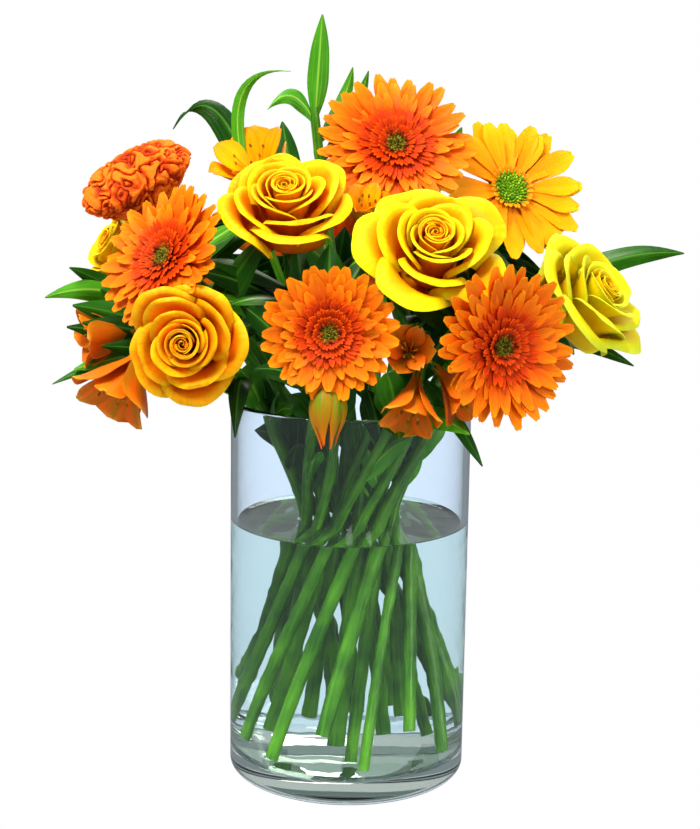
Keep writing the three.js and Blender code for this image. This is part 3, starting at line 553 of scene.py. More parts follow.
class WhorlTree(GrowthTree):
    """Sets copies of one petal round +Z on a rising or sinking spiral."""

    NAME = "spiral whorl"
    INPUTS = {
        "Petal": ("Object", None), "Count": ("Int", 20),
        "Start Radius": ("Float", 10.0), "End Radius": ("Float", 10.0),
        "Start Height": ("Float", 0.0), "End Height": ("Float", 0.0),
        "Start Tilt": ("Float", 0.2), "End Tilt": ("Float", 0.2),
        "Start Scale": ("Float", 1.0), "End Scale": ("Float", 1.0),
        "Turn Step": ("Float", GOLDEN_ANGLE), "First Turn": ("Float", 0.0),
        "Spread Power": ("Float", 1.0), "Turn Jitter": ("Float", 0.05),
        "Tilt Jitter": ("Float", 0.05), "Size Jitter": ("Float", 0.05),
        "Ripple": ("Float", 0.0), "Seed": ("Int", 1), "Material": ("Material", None),
    }
    # Added to the seed, so that one copy's turn, tilt, roll, size and shade aren't tied together.
    SALTS = {"turn": 11.0, "tilt": 23.0, "roll": 37.0, "size": 41.0, "shade": 53.0}
    RIPPLE_SCALE = 0.12

    def run(self, base: Object | None = None, **values: object) -> bpy.types.Mesh:
        """Run the tree; a pair is what a size has at the spiral's start and at its end."""
        for name in [name for name, value in values.items() if isinstance(value, tuple)]:
            values[f"Start_{name}"], values[f"End_{name}"] = values.pop(name)
        return super().run(base, **values)

    def random(self, low: Socket | float, high: Socket | float, salt: str) -> Socket:
        """A number between two others, different for each copy."""
        seeded = self.math("ADD", self.given["Seed"], self.SALTS[salt])
        return self.node("FunctionNodeRandomValue", {2: low, 3: high, "Seed": seeded}, 1,
                         data_type="FLOAT")

    def varied(self, what: str, salt: str) -> Socket:
        """A number from minus to plus the given jitter, different for each copy."""
        amount = self.given[f"{what} Jitter"]
        return self.random(self.math("MULTIPLY", amount, -1.0), amount, salt)

    def between(self, share: Socket, what: str) -> Socket:
        """The value of one size at a copy's share of the way along the spiral."""
        return self.node("ShaderNodeMix", {
            0: share, 2: self.given[f"Start {what}"], 3: self.given[f"End {what}"],
        }, data_type="FLOAT")

    def grow(self) -> Socket:
        """Place, turn, size and roughen the copies."""
        given = self.given
        index = self.node("GeometryNodeInputIndex")
        last = self.math("MAXIMUM", self.math("SUBTRACT", given["Count"], 1.0), 1.0)
        share = self.math("POWER", self.math("DIVIDE", index, last), given["Spread Power"])
        stepped = self.math("ADD", self.math("MULTIPLY", index, given["Turn Step"]),
                            given["First Turn"])
        turn = self.math("ADD", stepped, self.varied("Turn", "turn"))
        radius = self.between(share, "Radius")
        place = self.xyz(self.math("MULTIPLY", radius, self.math("COSINE", turn)),
                         self.math("MULTIPLY", radius, self.math("SINE", turn)),
                         self.between(share, "Height"))
        tilt = self.math("ADD", self.between(share, "Tilt"), self.varied("Tilt", "tilt"))
        euler = self.xyz(self.varied("Tilt", "roll"), self.math("MULTIPLY", tilt, -1.0), turn)
        size = self.math("MULTIPLY", self.between(share, "Scale"),
                         self.math("ADD", self.varied("Size", "size"), 1.0))
        points = self.node("GeometryNodePoints", {"Count": given["Count"]})
        set_out = self.node("GeometryNodeSetPosition", {"Geometry": points, "Position": place})
        petal = self.node("GeometryNodeObjectInfo", {"Object": given["Petal"],
                                                     "As Instance": True}, "Geometry")
        copies = self.node("GeometryNodeInstanceOnPoints", {
            "Points": set_out, "Instance": petal,
            "Rotation": self.node("FunctionNodeEulerToRotation", {0: euler}),
            "Scale": self.xyz(size, size, size)})
        shaded = self.keep(copies, "shade", self.random(0.0, 1.0, "shade"), domain="INSTANCE")
        real = self.node("GeometryNodeRealizeInstances", {"Geometry": shaded})
        noise = self.noise(self.RIPPLE_SCALE, 1.0, 1, W=given["Seed"])
        centred = self.vectors("SUBTRACT", noise, (0.5, 0.5, 0.5))
        return self.node("GeometryNodeSetPosition", {
            "Geometry": real, "Offset": self.scaled(centred, given["Ripple"])})


class StalkTree(GrowthTree):
    """Sweeps a round, slightly knotted stem along a line that carries its radius."""

    NAME = "swept stalk"
    INPUTS = {
        "Step": ("Float", 2.5), "Sides": ("Int", 14), "Knot Spacing": ("Float", 38.0),
        "Knot Size": ("Float", 0.1), "Seed": ("Int", 1), "Material": ("Material", None),
    }
    KNOT_SHARPNESS = 9.0
    KNOT_SHIFT = 0.37  # of a spacing, from one seed to the next

    def captured(self, geometry: Socket, value: Socket, name: str) -> list[Socket]:
        """Keep a field's value on a line's points, and return the line and the value."""
        node = add_node(self.tree, "GeometryNodeCaptureAttribute")
        node.capture_items.new("FLOAT", name)
        self.tree.links.new(geometry, node.inputs[0])
        self.tree.links.new(value, node.inputs[1])
        return node.outputs.values()[:2]

    def grow(self) -> Socket:
        """Round the line, swell it at its knots and sweep the section."""
        given = self.given
        line = self.node("GeometryNodeMeshToCurve", {"Mesh": given["Geometry"]})
        rounded = self.node("GeometryNodeCurveSplineType", {"Curve": line},
                            spline_type="CATMULL_ROM")
        even = self.node("GeometryNodeResampleCurve", {"Curve": rounded, "Length": given["Step"]},
                         mode="LENGTH")
        along = self.node("GeometryNodeSplineParameter", out="Length")
        path, length = self.captured(even, along, "along")
        phase = self.math("ADD", self.math("DIVIDE", along, given["Knot Spacing"]),
                          self.math("MULTIPLY", given["Seed"], self.KNOT_SHIFT))
        wave = self.math("PINGPONG", phase, 0.5)
        knot = self.math("POWER", self.math("SUBTRACT", 1.0, self.math("MULTIPLY", wave, 2.0)),
                         self.KNOT_SHARPNESS)
        swell = self.math("ADD", self.math("MULTIPLY", knot, given["Knot Size"]), 1.0)
        radius = self.node("GeometryNodeInputNamedAttribute", {"Name": "radius"},
                           data_type="FLOAT")
        ring = self.node("GeometryNodeCurvePrimitiveCircle",
                         {"Resolution": given["Sides"], "Radius": 1.0})
        share = self.node("GeometryNodeSplineParameter", out="Factor")
        section, around = self.captured(ring, share, "around")
        swept = self.node("GeometryNodeCurveToMesh", {
            "Curve": path, "Profile Curve": section,
            "Scale": self.math("MULTIPLY", radius, swell), "Fill Caps": True})
        turn = self.math("MULTIPLY", around, 2 * math.pi)
        fibre = self.xyz(self.math("COSINE", turn), self.math("SINE", turn), length)
        return self.keep(swept, "fibre", fibre, "FLOAT_VECTOR")


class CrestTree(GrowthTree):
    """Throws a flattened dome into the winding ridges of a cockscomb."""

    NAME = "cockscomb ridges"
    INPUTS = {
        "Wide": ("Float", 36.0), "Deep": ("Float", 22.0), "Tall": ("Float", 21.0),
        "Ridge Height": ("Float", 3.4), "Ridge Spacing": ("Float", 9.0),
        "Material": ("Material", None),
    }
    WAIST = 0.45  # how much the underside draws in
    LOBES = ("SINE", 5.2), ("COSINE", 4.6)  # across and along the crest
    LOBE_SIZE, LOBE_LEVEL = 0.07, 0.86
    STEEPNESS, ROUNDING = 8.0, 0.55  # of a ridge's flanks and of its top
    GRAIN, GRAIN_HEIGHT = 0.9, 0.8

    def grow(self) -> Socket:
        """Shape the dome, then raise a ridge wherever a warped noise is far from its middle."""
        given = self.given
        ball = self.node("GeometryNodeMeshIcoSphere", {"Radius": 1.0, "Subdivisions": 7})
        way = self.node("GeometryNodeInputPosition")
        parts = self.split(way)
        below = self.math("MULTIPLY", self.math("MINIMUM", parts["Z"], 0.0), self.WAIST)
        waist = self.math("ADD", below, 1.0)
        shape = self.xyz(self.math("MULTIPLY", given["Wide"], waist),
                         self.math("MULTIPLY", given["Deep"], waist), given["Tall"])
        dome = self.vectors("MULTIPLY", way, shape)
        lobes = [self.math(wave, self.math("MULTIPLY", part, pace))
                 for part, (wave, pace) in zip((parts["X"], parts["Y"]), self.LOBES)]
        winding = self.math("MULTIPLY", *lobes)
        swell = self.math("ADD", self.math("MULTIPLY", winding, self.LOBE_SIZE), self.LOBE_LEVEL)
        lobed = self.scaled(dome, swell)
        noise = self.noise(self.math("DIVIDE", 1.0, given["Ridge Spacing"]), 1.2, Vector=lobed,
                           Roughness=0.4, Distortion=1.1)
        apart = self.math("ABSOLUTE", self.math("SUBTRACT", noise, 0.5))
        flank = self.math("MINIMUM", self.math("MULTIPLY", apart, self.STEEPNESS), 1.0)
        ridge = self.math("POWER", flank, self.ROUNDING)
        grain = self.math("MULTIPLY", self.noise(self.GRAIN, Vector=lobed), self.GRAIN_HEIGHT)
        height = self.math("ADD", self.math("MULTIPLY", ridge, given["Ridge Height"]), grain)
        lift = self.scaled(self.vectors("NORMALIZE", dome), height)
        # The ridge height is kept as the shade, so that the finish paints shade in the folds and
        # light on the ridge tops.
        return self.node("GeometryNodeSetPosition", {
            "Geometry": self.keep(ball, "shade", ridge),
            "Position": self.vectors("ADD", lobed, lift)})


# ---- finishes
class MaterialSheet(NodeSheet):
    """The node tree of a new material."""

    def __init__(self, name: str) -> None:
        """Start the material, empty."""
        self.material = bpy.data.materials.new(name)
        self.material.use_nodes = True
        super().__init__(self.material.node_tree)
        self.tree.nodes.clear()

    def attribute(self, name: str, out: str = "Fac") -> Socket:
        """A value kept on the mesh under the given name."""
        return self.node("ShaderNodeAttribute", out=out, attribute_name=name)

    def body_noise(self, scale: float, detail: float = 2.0) -> Socket:
        """A noise that fills the object's own space."""
        where = self.node("ShaderNodeTexCoord", out="Object")
        return self.noise(scale, detail, Vector=where)

    def blade_noise(self, place: Socket, stretch: tuple[float, float, float], detail: float,
                    salt: float) -> Socket:
        """A noise in long streaks, its own on every petal or leaf."""
        cells = self.node("ShaderNodeMapping", {0: place, "Scale": stretch})
        number = self.math("MULTIPLY", self.attribute("shade"), salt)
        return self.noise(1.0, detail, Vector=cells, W=number)

    def ramp(self, share: Socket, stops: Gradient) -> Socket:
        """The colour at a share of the way along a gradient."""
        return self.node("ShaderNodeValToRGB", {0: share}, stops=stops)

    def close(self, colour: Socket | str, height: Socket, relief: Pair,
              **inputs: object) -> Material:
        """Add the shader and the output.

        Args:
            colour: The base colour.
            height: What stands out of the surface.
            relief: Strength of the relief and its height in metres.
            inputs: The shader's other inputs, with underscores for spaces.

        Returns:
            The finished material.
        """
        normal = self.node("ShaderNodeBump", {
            "Height": height, "Strength": relief[0], "Distance": relief[1]})
        named = {name.replace("_", " "): value for name, value in inputs.items()}
        shader = self.node("ShaderNodeBsdfPrincipled",
                           {"Base Color": colour, "Normal": normal, **named})
        add_node(self.tree, "ShaderNodeOutputMaterial", {"Surface": shader})
        return self.material


@dataclass(frozen=True)
class Finish:
    """A material that is made once and shared."""

    name: str

    def make(self) -> Material:
        """Make the material's node tree."""
        raise NotImplementedError


SHARED: dict[str, Material] = {}


def shared(finish: Finish) -> Material:
    """The one material of a finish, made the first time that it is asked for."""
    if finish.name not in SHARED:
        SHARED[finish.name] = finish.make()
    return SHARED[finish.name]


@dataclass(frozen=True)
class PetalFinish(Finish):
    """Fresh petal skin: waxy cells in long rows, so it is streaked, soft and lit from within."""

    gradient: Gradient
    streak: str
    streak_share: float = 0.35
    streaks: float = 22.0
    edge_reach: float = 0.0
    roughness: float = 0.5
    glow: float = 0.12

    DARKEST, BRIGHTEST = 0.8, 1.08  # petal to petal
    BLOTCH_SHIFT = 0.24  # of the gradient
    EDGE_POWER = 3.0

    def make(self) -> Material:
        """Colour from root to tip, streaks along the petal and fine ribs in the same places."""
        sheet = MaterialSheet(self.name)
        place = sheet.node("ShaderNodeUVMap", uv_map="UVMap")
        across, along = sheet.split(place).values()[:2]
        streak = sheet.blade_noise(place, (self.streaks, 1.3, 1.0), 3.0, 37.0)
        apart = sheet.math("ABSOLUTE", sheet.math("MULTIPLY_ADD", across, 2.0, -1.0))
        rim = sheet.math("MULTIPLY", sheet.math("POWER", apart, self.EDGE_POWER), self.edge_reach)
        shift = sheet.math("MULTIPLY_ADD", sheet.body_noise(110.0), self.BLOTCH_SHIFT,
                           -self.BLOTCH_SHIFT / 2)
        share = sheet.math("ADD", sheet.math("MAXIMUM", along, rim), shift)
        mask = sheet.mapped(streak, (0.42, 0.68), (0.0, self.streak_share))
        streaked = sheet.blend(mask, sheet.ramp(share, self.gradient), self.streak)
        value = sheet.mapped(sheet.attribute("shade"), target=(self.DARKEST, self.BRIGHTEST))
        toned = sheet.node("ShaderNodeHueSaturation", {"Color": streaked, "Value": value})
        return sheet.close(
            toned, streak, (0.5, 0.0005), Roughness=self.roughness, IOR=1.4,
            Specular_IOR_Level=0.14, Subsurface_Weight=self.glow,
            Subsurface_Radius=(1.0, 0.45, 0.1), Subsurface_Scale=0.004)


@dataclass(frozen=True)
class RoseFinish(PetalFinish):
    """Rose petal skin: velvety, finely streaked and palest at the lip all the way round; the
    deepening orange towards the root is partly its own colour and partly painted shade.
    """

    streak_share: float = 0.3
    streaks: float = 30.0
    edge_reach: float = 0.95
    roughness: float = 0.55
    glow: float = 0.2


@dataclass(frozen=True)
class LeafFinish(Finish):
    """Leathery leaf: a thin wax over long parallel veins, paler along the midrib."""

    dark: str
    bright: str
    rib: str

    def make(self) -> Material:
        """Blotches of two greens, veins along the blade and a pale midrib."""
        sheet = MaterialSheet(self.name)
        place = sheet.node("ShaderNodeUVMap", uv_map="UVMap")
        vein = sheet.blade_noise(place, (16.0, 1.6, 1.0), 2.0, 19.0)
        mixed = sheet.math("ADD", sheet.body_noise(60.0), sheet.attribute("shade"))
        base = sheet.blend(sheet.mapped(mixed, (0.5, 1.5)), self.dark, self.bright)
        apart = sheet.math("ABSOLUTE", sheet.math("SUBTRACT", sheet.split(place)[0], 0.5))
        midrib = sheet.mapped(apart, (0.02, 0.07), (0.7, 0.0))
        lines = sheet.mapped(vein, (0.5, 0.75), (0.0, 0.35))
        colour = sheet.blend(sheet.math("MAXIMUM", midrib, lines), base, self.rib)
        return sheet.close(
            colour, vein, (0.5, 0.0006), Roughness=0.36, IOR=1.45, Specular_IOR_Level=0.25,
            Subsurface_Weight=0.08, Subsurface_Radius=(0.3, 1.0, 0.1), Subsurface_Scale=0.002)


@dataclass(frozen=True)
class StalkFinish(Finish):
    """Cut stem: smooth ribbed skin, moist and slightly shiny, paler along its fibres."""

    dark: str
    bright: str

    def make(self) -> Material:
        """Fibres along the stem in two greens, with the same fibres as fine ribs."""
        sheet = MaterialSheet(self.name)
        fibre = sheet.attribute("fibre", "Vector")
        cells = sheet.node("ShaderNodeMapping", {0: fibre, "Scale": (3.0, 3.0, 0.03)})
        noise = sheet.noise(1.0, 3.0, Vector=cells)
        tone = sheet.mapped(sheet.math("ADD", noise, sheet.body_noise(45.0)), (0.75, 1.25))
        return sheet.close(
            sheet.blend(tone, self.dark, self.bright), noise, (0.4, 0.0005), Roughness=0.34,
            IOR=1.45, Subsurface_Weight=0.1, Subsurface_Radius=(0.4, 1.0, 0.1),
            Subsurface_Scale=0.003)


@dataclass(frozen=True)
class FloretFinish(Finish):
    """Packed florets of a gerbera's eye: matt little cushions; the seat between them takes the
    gradient's dark end as painted shade.
    """

    gradient: Gradient

    GRAIN = (900.0, 2.0)  # scale and detail
    GRAIN_SHIFT = 0.5  # of the gradient
    RELIEF = (0.4, 0.0003)
    SHINE = {"Roughness": 0.6, "Specular_IOR_Level": 0.12}

    def make(self) -> Material:
        """Colour by the mesh's own shade, broken up by a fine grain."""
        sheet = MaterialSheet(self.name)
        grain = sheet.body_noise(*self.GRAIN)
        shift = sheet.math("MULTIPLY_ADD", grain, self.GRAIN_SHIFT, -self.GRAIN_SHIFT / 2)
        share = sheet.math("ADD", sheet.attribute("shade"), shift)
        return sheet.close(sheet.ramp(share, self.gradient), grain, self.RELIEF, **self.SHINE)


@dataclass(frozen=True)
class CrestFinish(FloretFinish):
    """Cockscomb plush: matt velvety ridges, with painted light on their tops and painted shade in
    the folds.
    """

    GRAIN = (700.0, 3.0)
    RELIEF = (0.7, 0.0006)
    SHINE = {"Roughness": 0.75, "Sheen_Weight": 0.2, "Sheen_Roughness": 0.4,
             "Sheen_Tint": "#FF7A20", "Specular_IOR_Level": 0.15}


@dataclass(frozen=True)
class ClearFinish(Finish):
    """A clear body: light passes and bends, and its surface is very slightly uneven."""

    tint: str
    ior: float
    wave_scale: float
    wave_height: float

    def make(self) -> Material:
        """A clear shader with faint waves in its surface."""
        sheet = MaterialSheet(self.name)
        return sheet.close(
            self.tint, sheet.body_noise(self.wave_scale, 1.0), (0.3, self.wave_height),
            Roughness=0.0, IOR=self.ior, Transmission_Weight=1.0, Specular_IOR_Level=0.22)


# Drawn float-finish glass: clear with a cold tint in its thickness, and slow waves 40 mm long.
VASE_GLASS = ClearFinish("clear_soda_glass", "#F2F7F7", 1.5, 25.0, 0.0004)
# Still water: clear, with barely any ripple.
STILL_WATER = ClearFinish("still_water", "#E8F5EC", 1.33, 60.0, 0.0014)
# Ray petals: matt satin, red-orange at the root and golden at the tip.
ORANGE_RAY = PetalFinish("gerbera_ray_orange", (
    (0.0, "#C42000"), (0.3, "#E23C00"), (0.6, "#F26000"), (0.88, "#FC8000"), (1.0, "#FF9404")),
    "#D63A00")
AMBER_RAY = PetalFinish("gerbera_ray_amber", (
    (0.0, "#F08600"), (0.35, "#FF9A00"), (0.75, "#FFAC00"), (1.0, "#FFBC10")), "#F28000")
# Short rays round the eye: thin, curled and darker than the long ones.
ORANGE_CROWN = PetalFinish("gerbera_crown_orange", (
    (0.0, "#7A2000"), (0.4, "#B82A00"), (0.8, "#DC3C00"), (1.0, "#EE5800")), "#B02600")
AMBER_CROWN = PetalFinish("gerbera_crown_amber", (
    (0.0, "#B06000"), (0.5, "#F08A00"), (1.0, "#FFB020")), "#E07800")
# Rose petals: velvety inside, smoother outside, palest at the lip. The orange that deepens towards
# the root, and deeper still in the heart, is partly the petals' own colour and partly painted
# shade of the cup's depths.
LEMON_ROSE = RoseFinish("rose_petal_lemon", (
    (0.0, "#D45800"), (0.42, "#E88200"), (0.68, "#F8AC00"), (0.88, "#F6D000"), (1.0, "#E8E40C")),
    "#F0A000", edge_reach=0.92)
LIME_ROSE = RoseFinish("rose_petal_lime", (
    (0.0, "#E09000"), (0.4, "#ECBC00"), (0.66, "#F2D600"), (0.86, "#EEEC14"), (1.0, "#DCEC38")),
    "#E6C800", streak_share=0.22)
LEMON_HEART = RoseFinish("rose_heart_lemon", (
    (0.0, "#C85000"), (0.6, "#E67C00"), (0.85, "#F8A800"), (1.0, "#FFD408")),
    "#E88400", edge_reach=0.9)
SUN_ROSE = RoseFinish("rose_petal_sun", (
    (0.0, "#B84400"), (0.4, "#D86400"), (0.68, "#F28C00"), (0.88, "#F8B800"), (1.0, "#FCD80C")),
    "#E48000")
GOLD_ROSE = RoseFinish("rose_petal_gold", (
    (0.0, "#C43000"), (0.4, "#DE5000"), (0.68, "#F47C00"), (0.86, "#FAA000"), (1.0, "#FCC404")),
    "#E86A00")
GOLD_HEART = RoseFinish("rose_heart_gold", (
    (0.0, "#C84000"), (0.6, "#EC6800"), (0.85, "#FA9400"), (1.0, "#FFC010")),
    "#E46A00", edge_reach=0.9, glow=0.25)
# Alstroemeria petals: thin and glossy, greenish at the root, with a few broad streaks.
CORAL_TEPAL = PetalFinish("alstroemeria_petal_coral", (
    (0.0, "#808418"), (0.3, "#DC6C06"), (0.6, "#F46A0C"), (0.85, "#FA7410"), (1.0, "#FF9C28")),
    "#707A10", streak_share=0.62, streaks=4.0, roughness=0.4)
AMBER_TEPAL = PetalFinish("alstroemeria_petal_amber", (
    (0.0, "#B0A020"), (0.3, "#F0A000"), (0.6, "#FFB400"), (0.85, "#FFA010"), (1.0, "#FF8C20")),
    "#F08000", streak_share=0.5, streaks=12.0, roughness=0.38)
BUD_TEPAL = PetalFinish("alstroemeria_bud", (
    (0.0, "#3E6A10"), (0.45, "#6A8414"), (0.75, "#A8760C"), (1.0, "#E86408")),
    "#D85A00", streak_share=0.6, streaks=8.0, roughness=0.45)
# A gerbera's eye: shut florets in the middle and brown ones round them; and an anther's pollen.
OLIVE_EYE = FloretFinish("gerbera_eye_olive", (
    (0.0, "#2E2A02"), (0.4, "#524A06"), (0.8, "#746E0A"), (1.0, "#8E8A18")))
LIME_EYE = FloretFinish("gerbera_eye_lime", (
    (0.0, "#4C7A08"), (0.4, "#6EA010"), (0.8, "#94C41E"), (1.0, "#B8DC40")))
BROWN_EYE = FloretFinish("gerbera_eye_brown", (
    (0.0, "#4A1800"), (0.5, "#7E2E00"), (1.0, "#B44C00")))
ANTHER = FloretFinish("anther_ochre", ((0.0, "#7A5A10"), (1.0, "#B89030")))
# A cockscomb's crest: dark rust in the folds and bright orange on the ridges, as painted shade and
# painted light.
RUST_PLUSH = CrestFinish("cockscomb_plush", (
    (0.0, "#5A1000"), (0.3, "#9C2800"), (0.65, "#DC4800"), (1.0, "#FC7A14")))
# Greens: old and young leaves, the stems, and the calyx and sepals behind a bloom.
DEEP_LEAF = LeafFinish("leaf_deep_green", "#0A3406", "#1E600C", "#4E9024")
FRESH_LEAF = LeafFinish("leaf_fresh_green", "#226C08", "#4AA018", "#98D44C")
GREEN_STALK = StalkFinish("stem_fresh_green", "#1E5A04", "#58A010")
CALYX_GREEN = StalkFinish("calyx_green", "#2E5E1A", "#5E9440")


# ---- vase and water
def publish_clear(name: str, surface: Surface, finish: ClearFinish, slot: Slot,
                  node: str) -> None:
    """Publish a clear piece, which casts no shadow, so that light reaches what stands in it."""
    draft = MeshDraft()
    draft.add(*surface, shared(finish))
    piece = draft.build(name)
    piece.visible_shadow = False
    publish(piece, slot, node)


@dataclass
class GlassVase:
    """The straight glass cylinder: an even wall, a thick base and a melted round lip."""

    radius: float = 75.0
    height: float = 240.0
    wall: float = 4.0
    floor: float = 14.0
    foot_rounding: float = 6.0
    inner_corner: float = 5.0
    sides: int = 160
    sag: float = 0.6  # of the floor's middle, and of the foot over the table

    def profile(self) -> Array:
        """Radius and height up the outside, over the lip and down to the middle of the floor."""
        lip, corner, foot = self.wall / 2, self.inner_corner, self.foot_rounding
        inside = self.radius - self.wall
        walls = np.linspace(foot + 10, self.height - 12, 12)
        return np.array([
            (0, self.sag), (self.radius - 14, self.sag), (self.radius - 11, 0),
            *arc((self.radius - foot, foot), foot, -90, 0),
            *[(self.radius, z) for z in walls],
            *arc((self.radius - lip, self.height - lip), lip, 0, 180, 10),
            *[(inside, z) for z in walls[::-1]],
            *arc((inside - corner, self.floor + corner), corner, 0, -90),
            (inside - 24, self.floor - self.sag), (0, self.floor - 2 * self.sag),
        ])

    def build(self) -> None:
        """Turn the glass and put it in the place of its solid."""
        publish_clear("vase_glass", lathe(self.profile(), self.sides), VASE_GLASS, Slot.GLASS,
                      "vase")


@dataclass
class VaseWater:
    """The water, which climbs a little up the glass."""

    level: float = 162.0
    climb: float = 1.6
    climb_run: float = 7.0
    lap: float = 0.1  # into the glass, so that no film of air is left between them

    def build(self, vase: GlassVase) -> None:
        """Turn the water inside the given vase."""
        side = vase.radius - vase.wall + self.lap
        corner = vase.inner_corner
        edge = [(side - self.climb_run * (1 - t), self.level + self.climb * t**3)
                for t in np.linspace(1, 0, 9)]
        heights = np.linspace(vase.floor + corner + 6, self.level - 4, 10)
        profile = np.array([
            (0, vase.floor - 2 * vase.sag - self.lap),
            (side - 24, vase.floor - vase.sag - self.lap),
            *arc((side - corner, vase.floor + corner - self.lap), corner, -90, 0),
            *[(side, z) for z in heights], *edge, (side * 0.5, self.level), (0, self.level)])
        publish_clear("vase_water", lathe(profile, vase.sides), STILL_WATER, Slot.WATER, "water")


# ---- stems and leaves
@dataclass
class Trees:
    """The node trees that grow what repeats or follows a path."""

    whorl: WhorlTree
    stalk: StalkTree
    crest: CrestTree


@dataclass
class Leaf:
    """One leaf: the height of its root on its stem, its tip, and the crown that it bends over.

    Its upper side looks up and out at the front and the back, or along its face where it has one.
    """

    z: float
    tip: Place
    over: Place | None = None
    width: float = 13.0
    arch: float = 8.0
    face: Place | None = None
    whole: bool = False

    WIDTHS = (0.2, 0.72, 1.0, 0.98, 0.84, 0.52, 0.06)
    THICKNESS = 0.45
    SHORTEST = 0.22  # share of a leaf that is worth drawing
    EDGE_LIFT, EDGE_WAVE = 0.34, 0.13  # of half the width

    def corners(self, root: Array) -> list[Array]:
        """Root, crown and tip of the leaf's middle line."""
        tip = np.array(self.tip, float)
        crown = np.array(self.over, float) if self.over else (root + tip) / 2 + (0, 0, self.arch)
        return [root, crown, tip]

    def add_to(self, draft: MeshDraft, root: Array, random: Random,
               fresh_share: float, reach: float = 1.0) -> None:
        """Add the blade: folded along its midrib, waved at its edges and ended at its reach."""
        fresh, shade, phase, pace = random.random(4) * (1, 1, 2 * math.pi, 1)
        if reach < self.SHORTEST:
            return
        root, crown, tip = self.corners(root)
        face = self.face or (0, 0.8 if root[1] > 30 else -0.8, 0.8)
        across = unit(np.cross(tip - root, face))
        shares, side = np.linspace(0, 1, 19), np.linspace(-1, 1, 9)
        centre = bezier([root, crown, tip], shares * reach)
        up = unit(np.cross(unit(np.gradient(centre, axis=0)), across))
        half = self.width / 2 * smooth_number(self.WIDTHS, shares)
        wave = np.sin(shares[:, None] * (8 + 5 * pace) + phase + side[None] * 1.4)
        lift = half[:, None] * (self.EDGE_LIFT * np.abs(side)[None] ** 1.4
                                + self.EDGE_WAVE * wave * side[None] ** 2)
        grid = (centre[:, None] + across * (half[:, None] * side[None])[..., None]
                + up[:, None] * (lift - 0.5)[..., None])
        draft.add_sheet(grid, self.THICKNESS,
                        shared(FRESH_LEAF if fresh < fresh_share else DEEP_LEAF), shade)


@dataclass
class FrontLeaf(Leaf):
    """A leaf that turns its upper side to the viewer."""

    face: Place | None = (0, -1, 0.35)


@dataclass
class FreeLeaf(Leaf):
    """A leaf that has no solid to follow, and turns its upper side to the viewer."""

    face: Place | None = (0, -1, 0.5)
    whole: bool = True


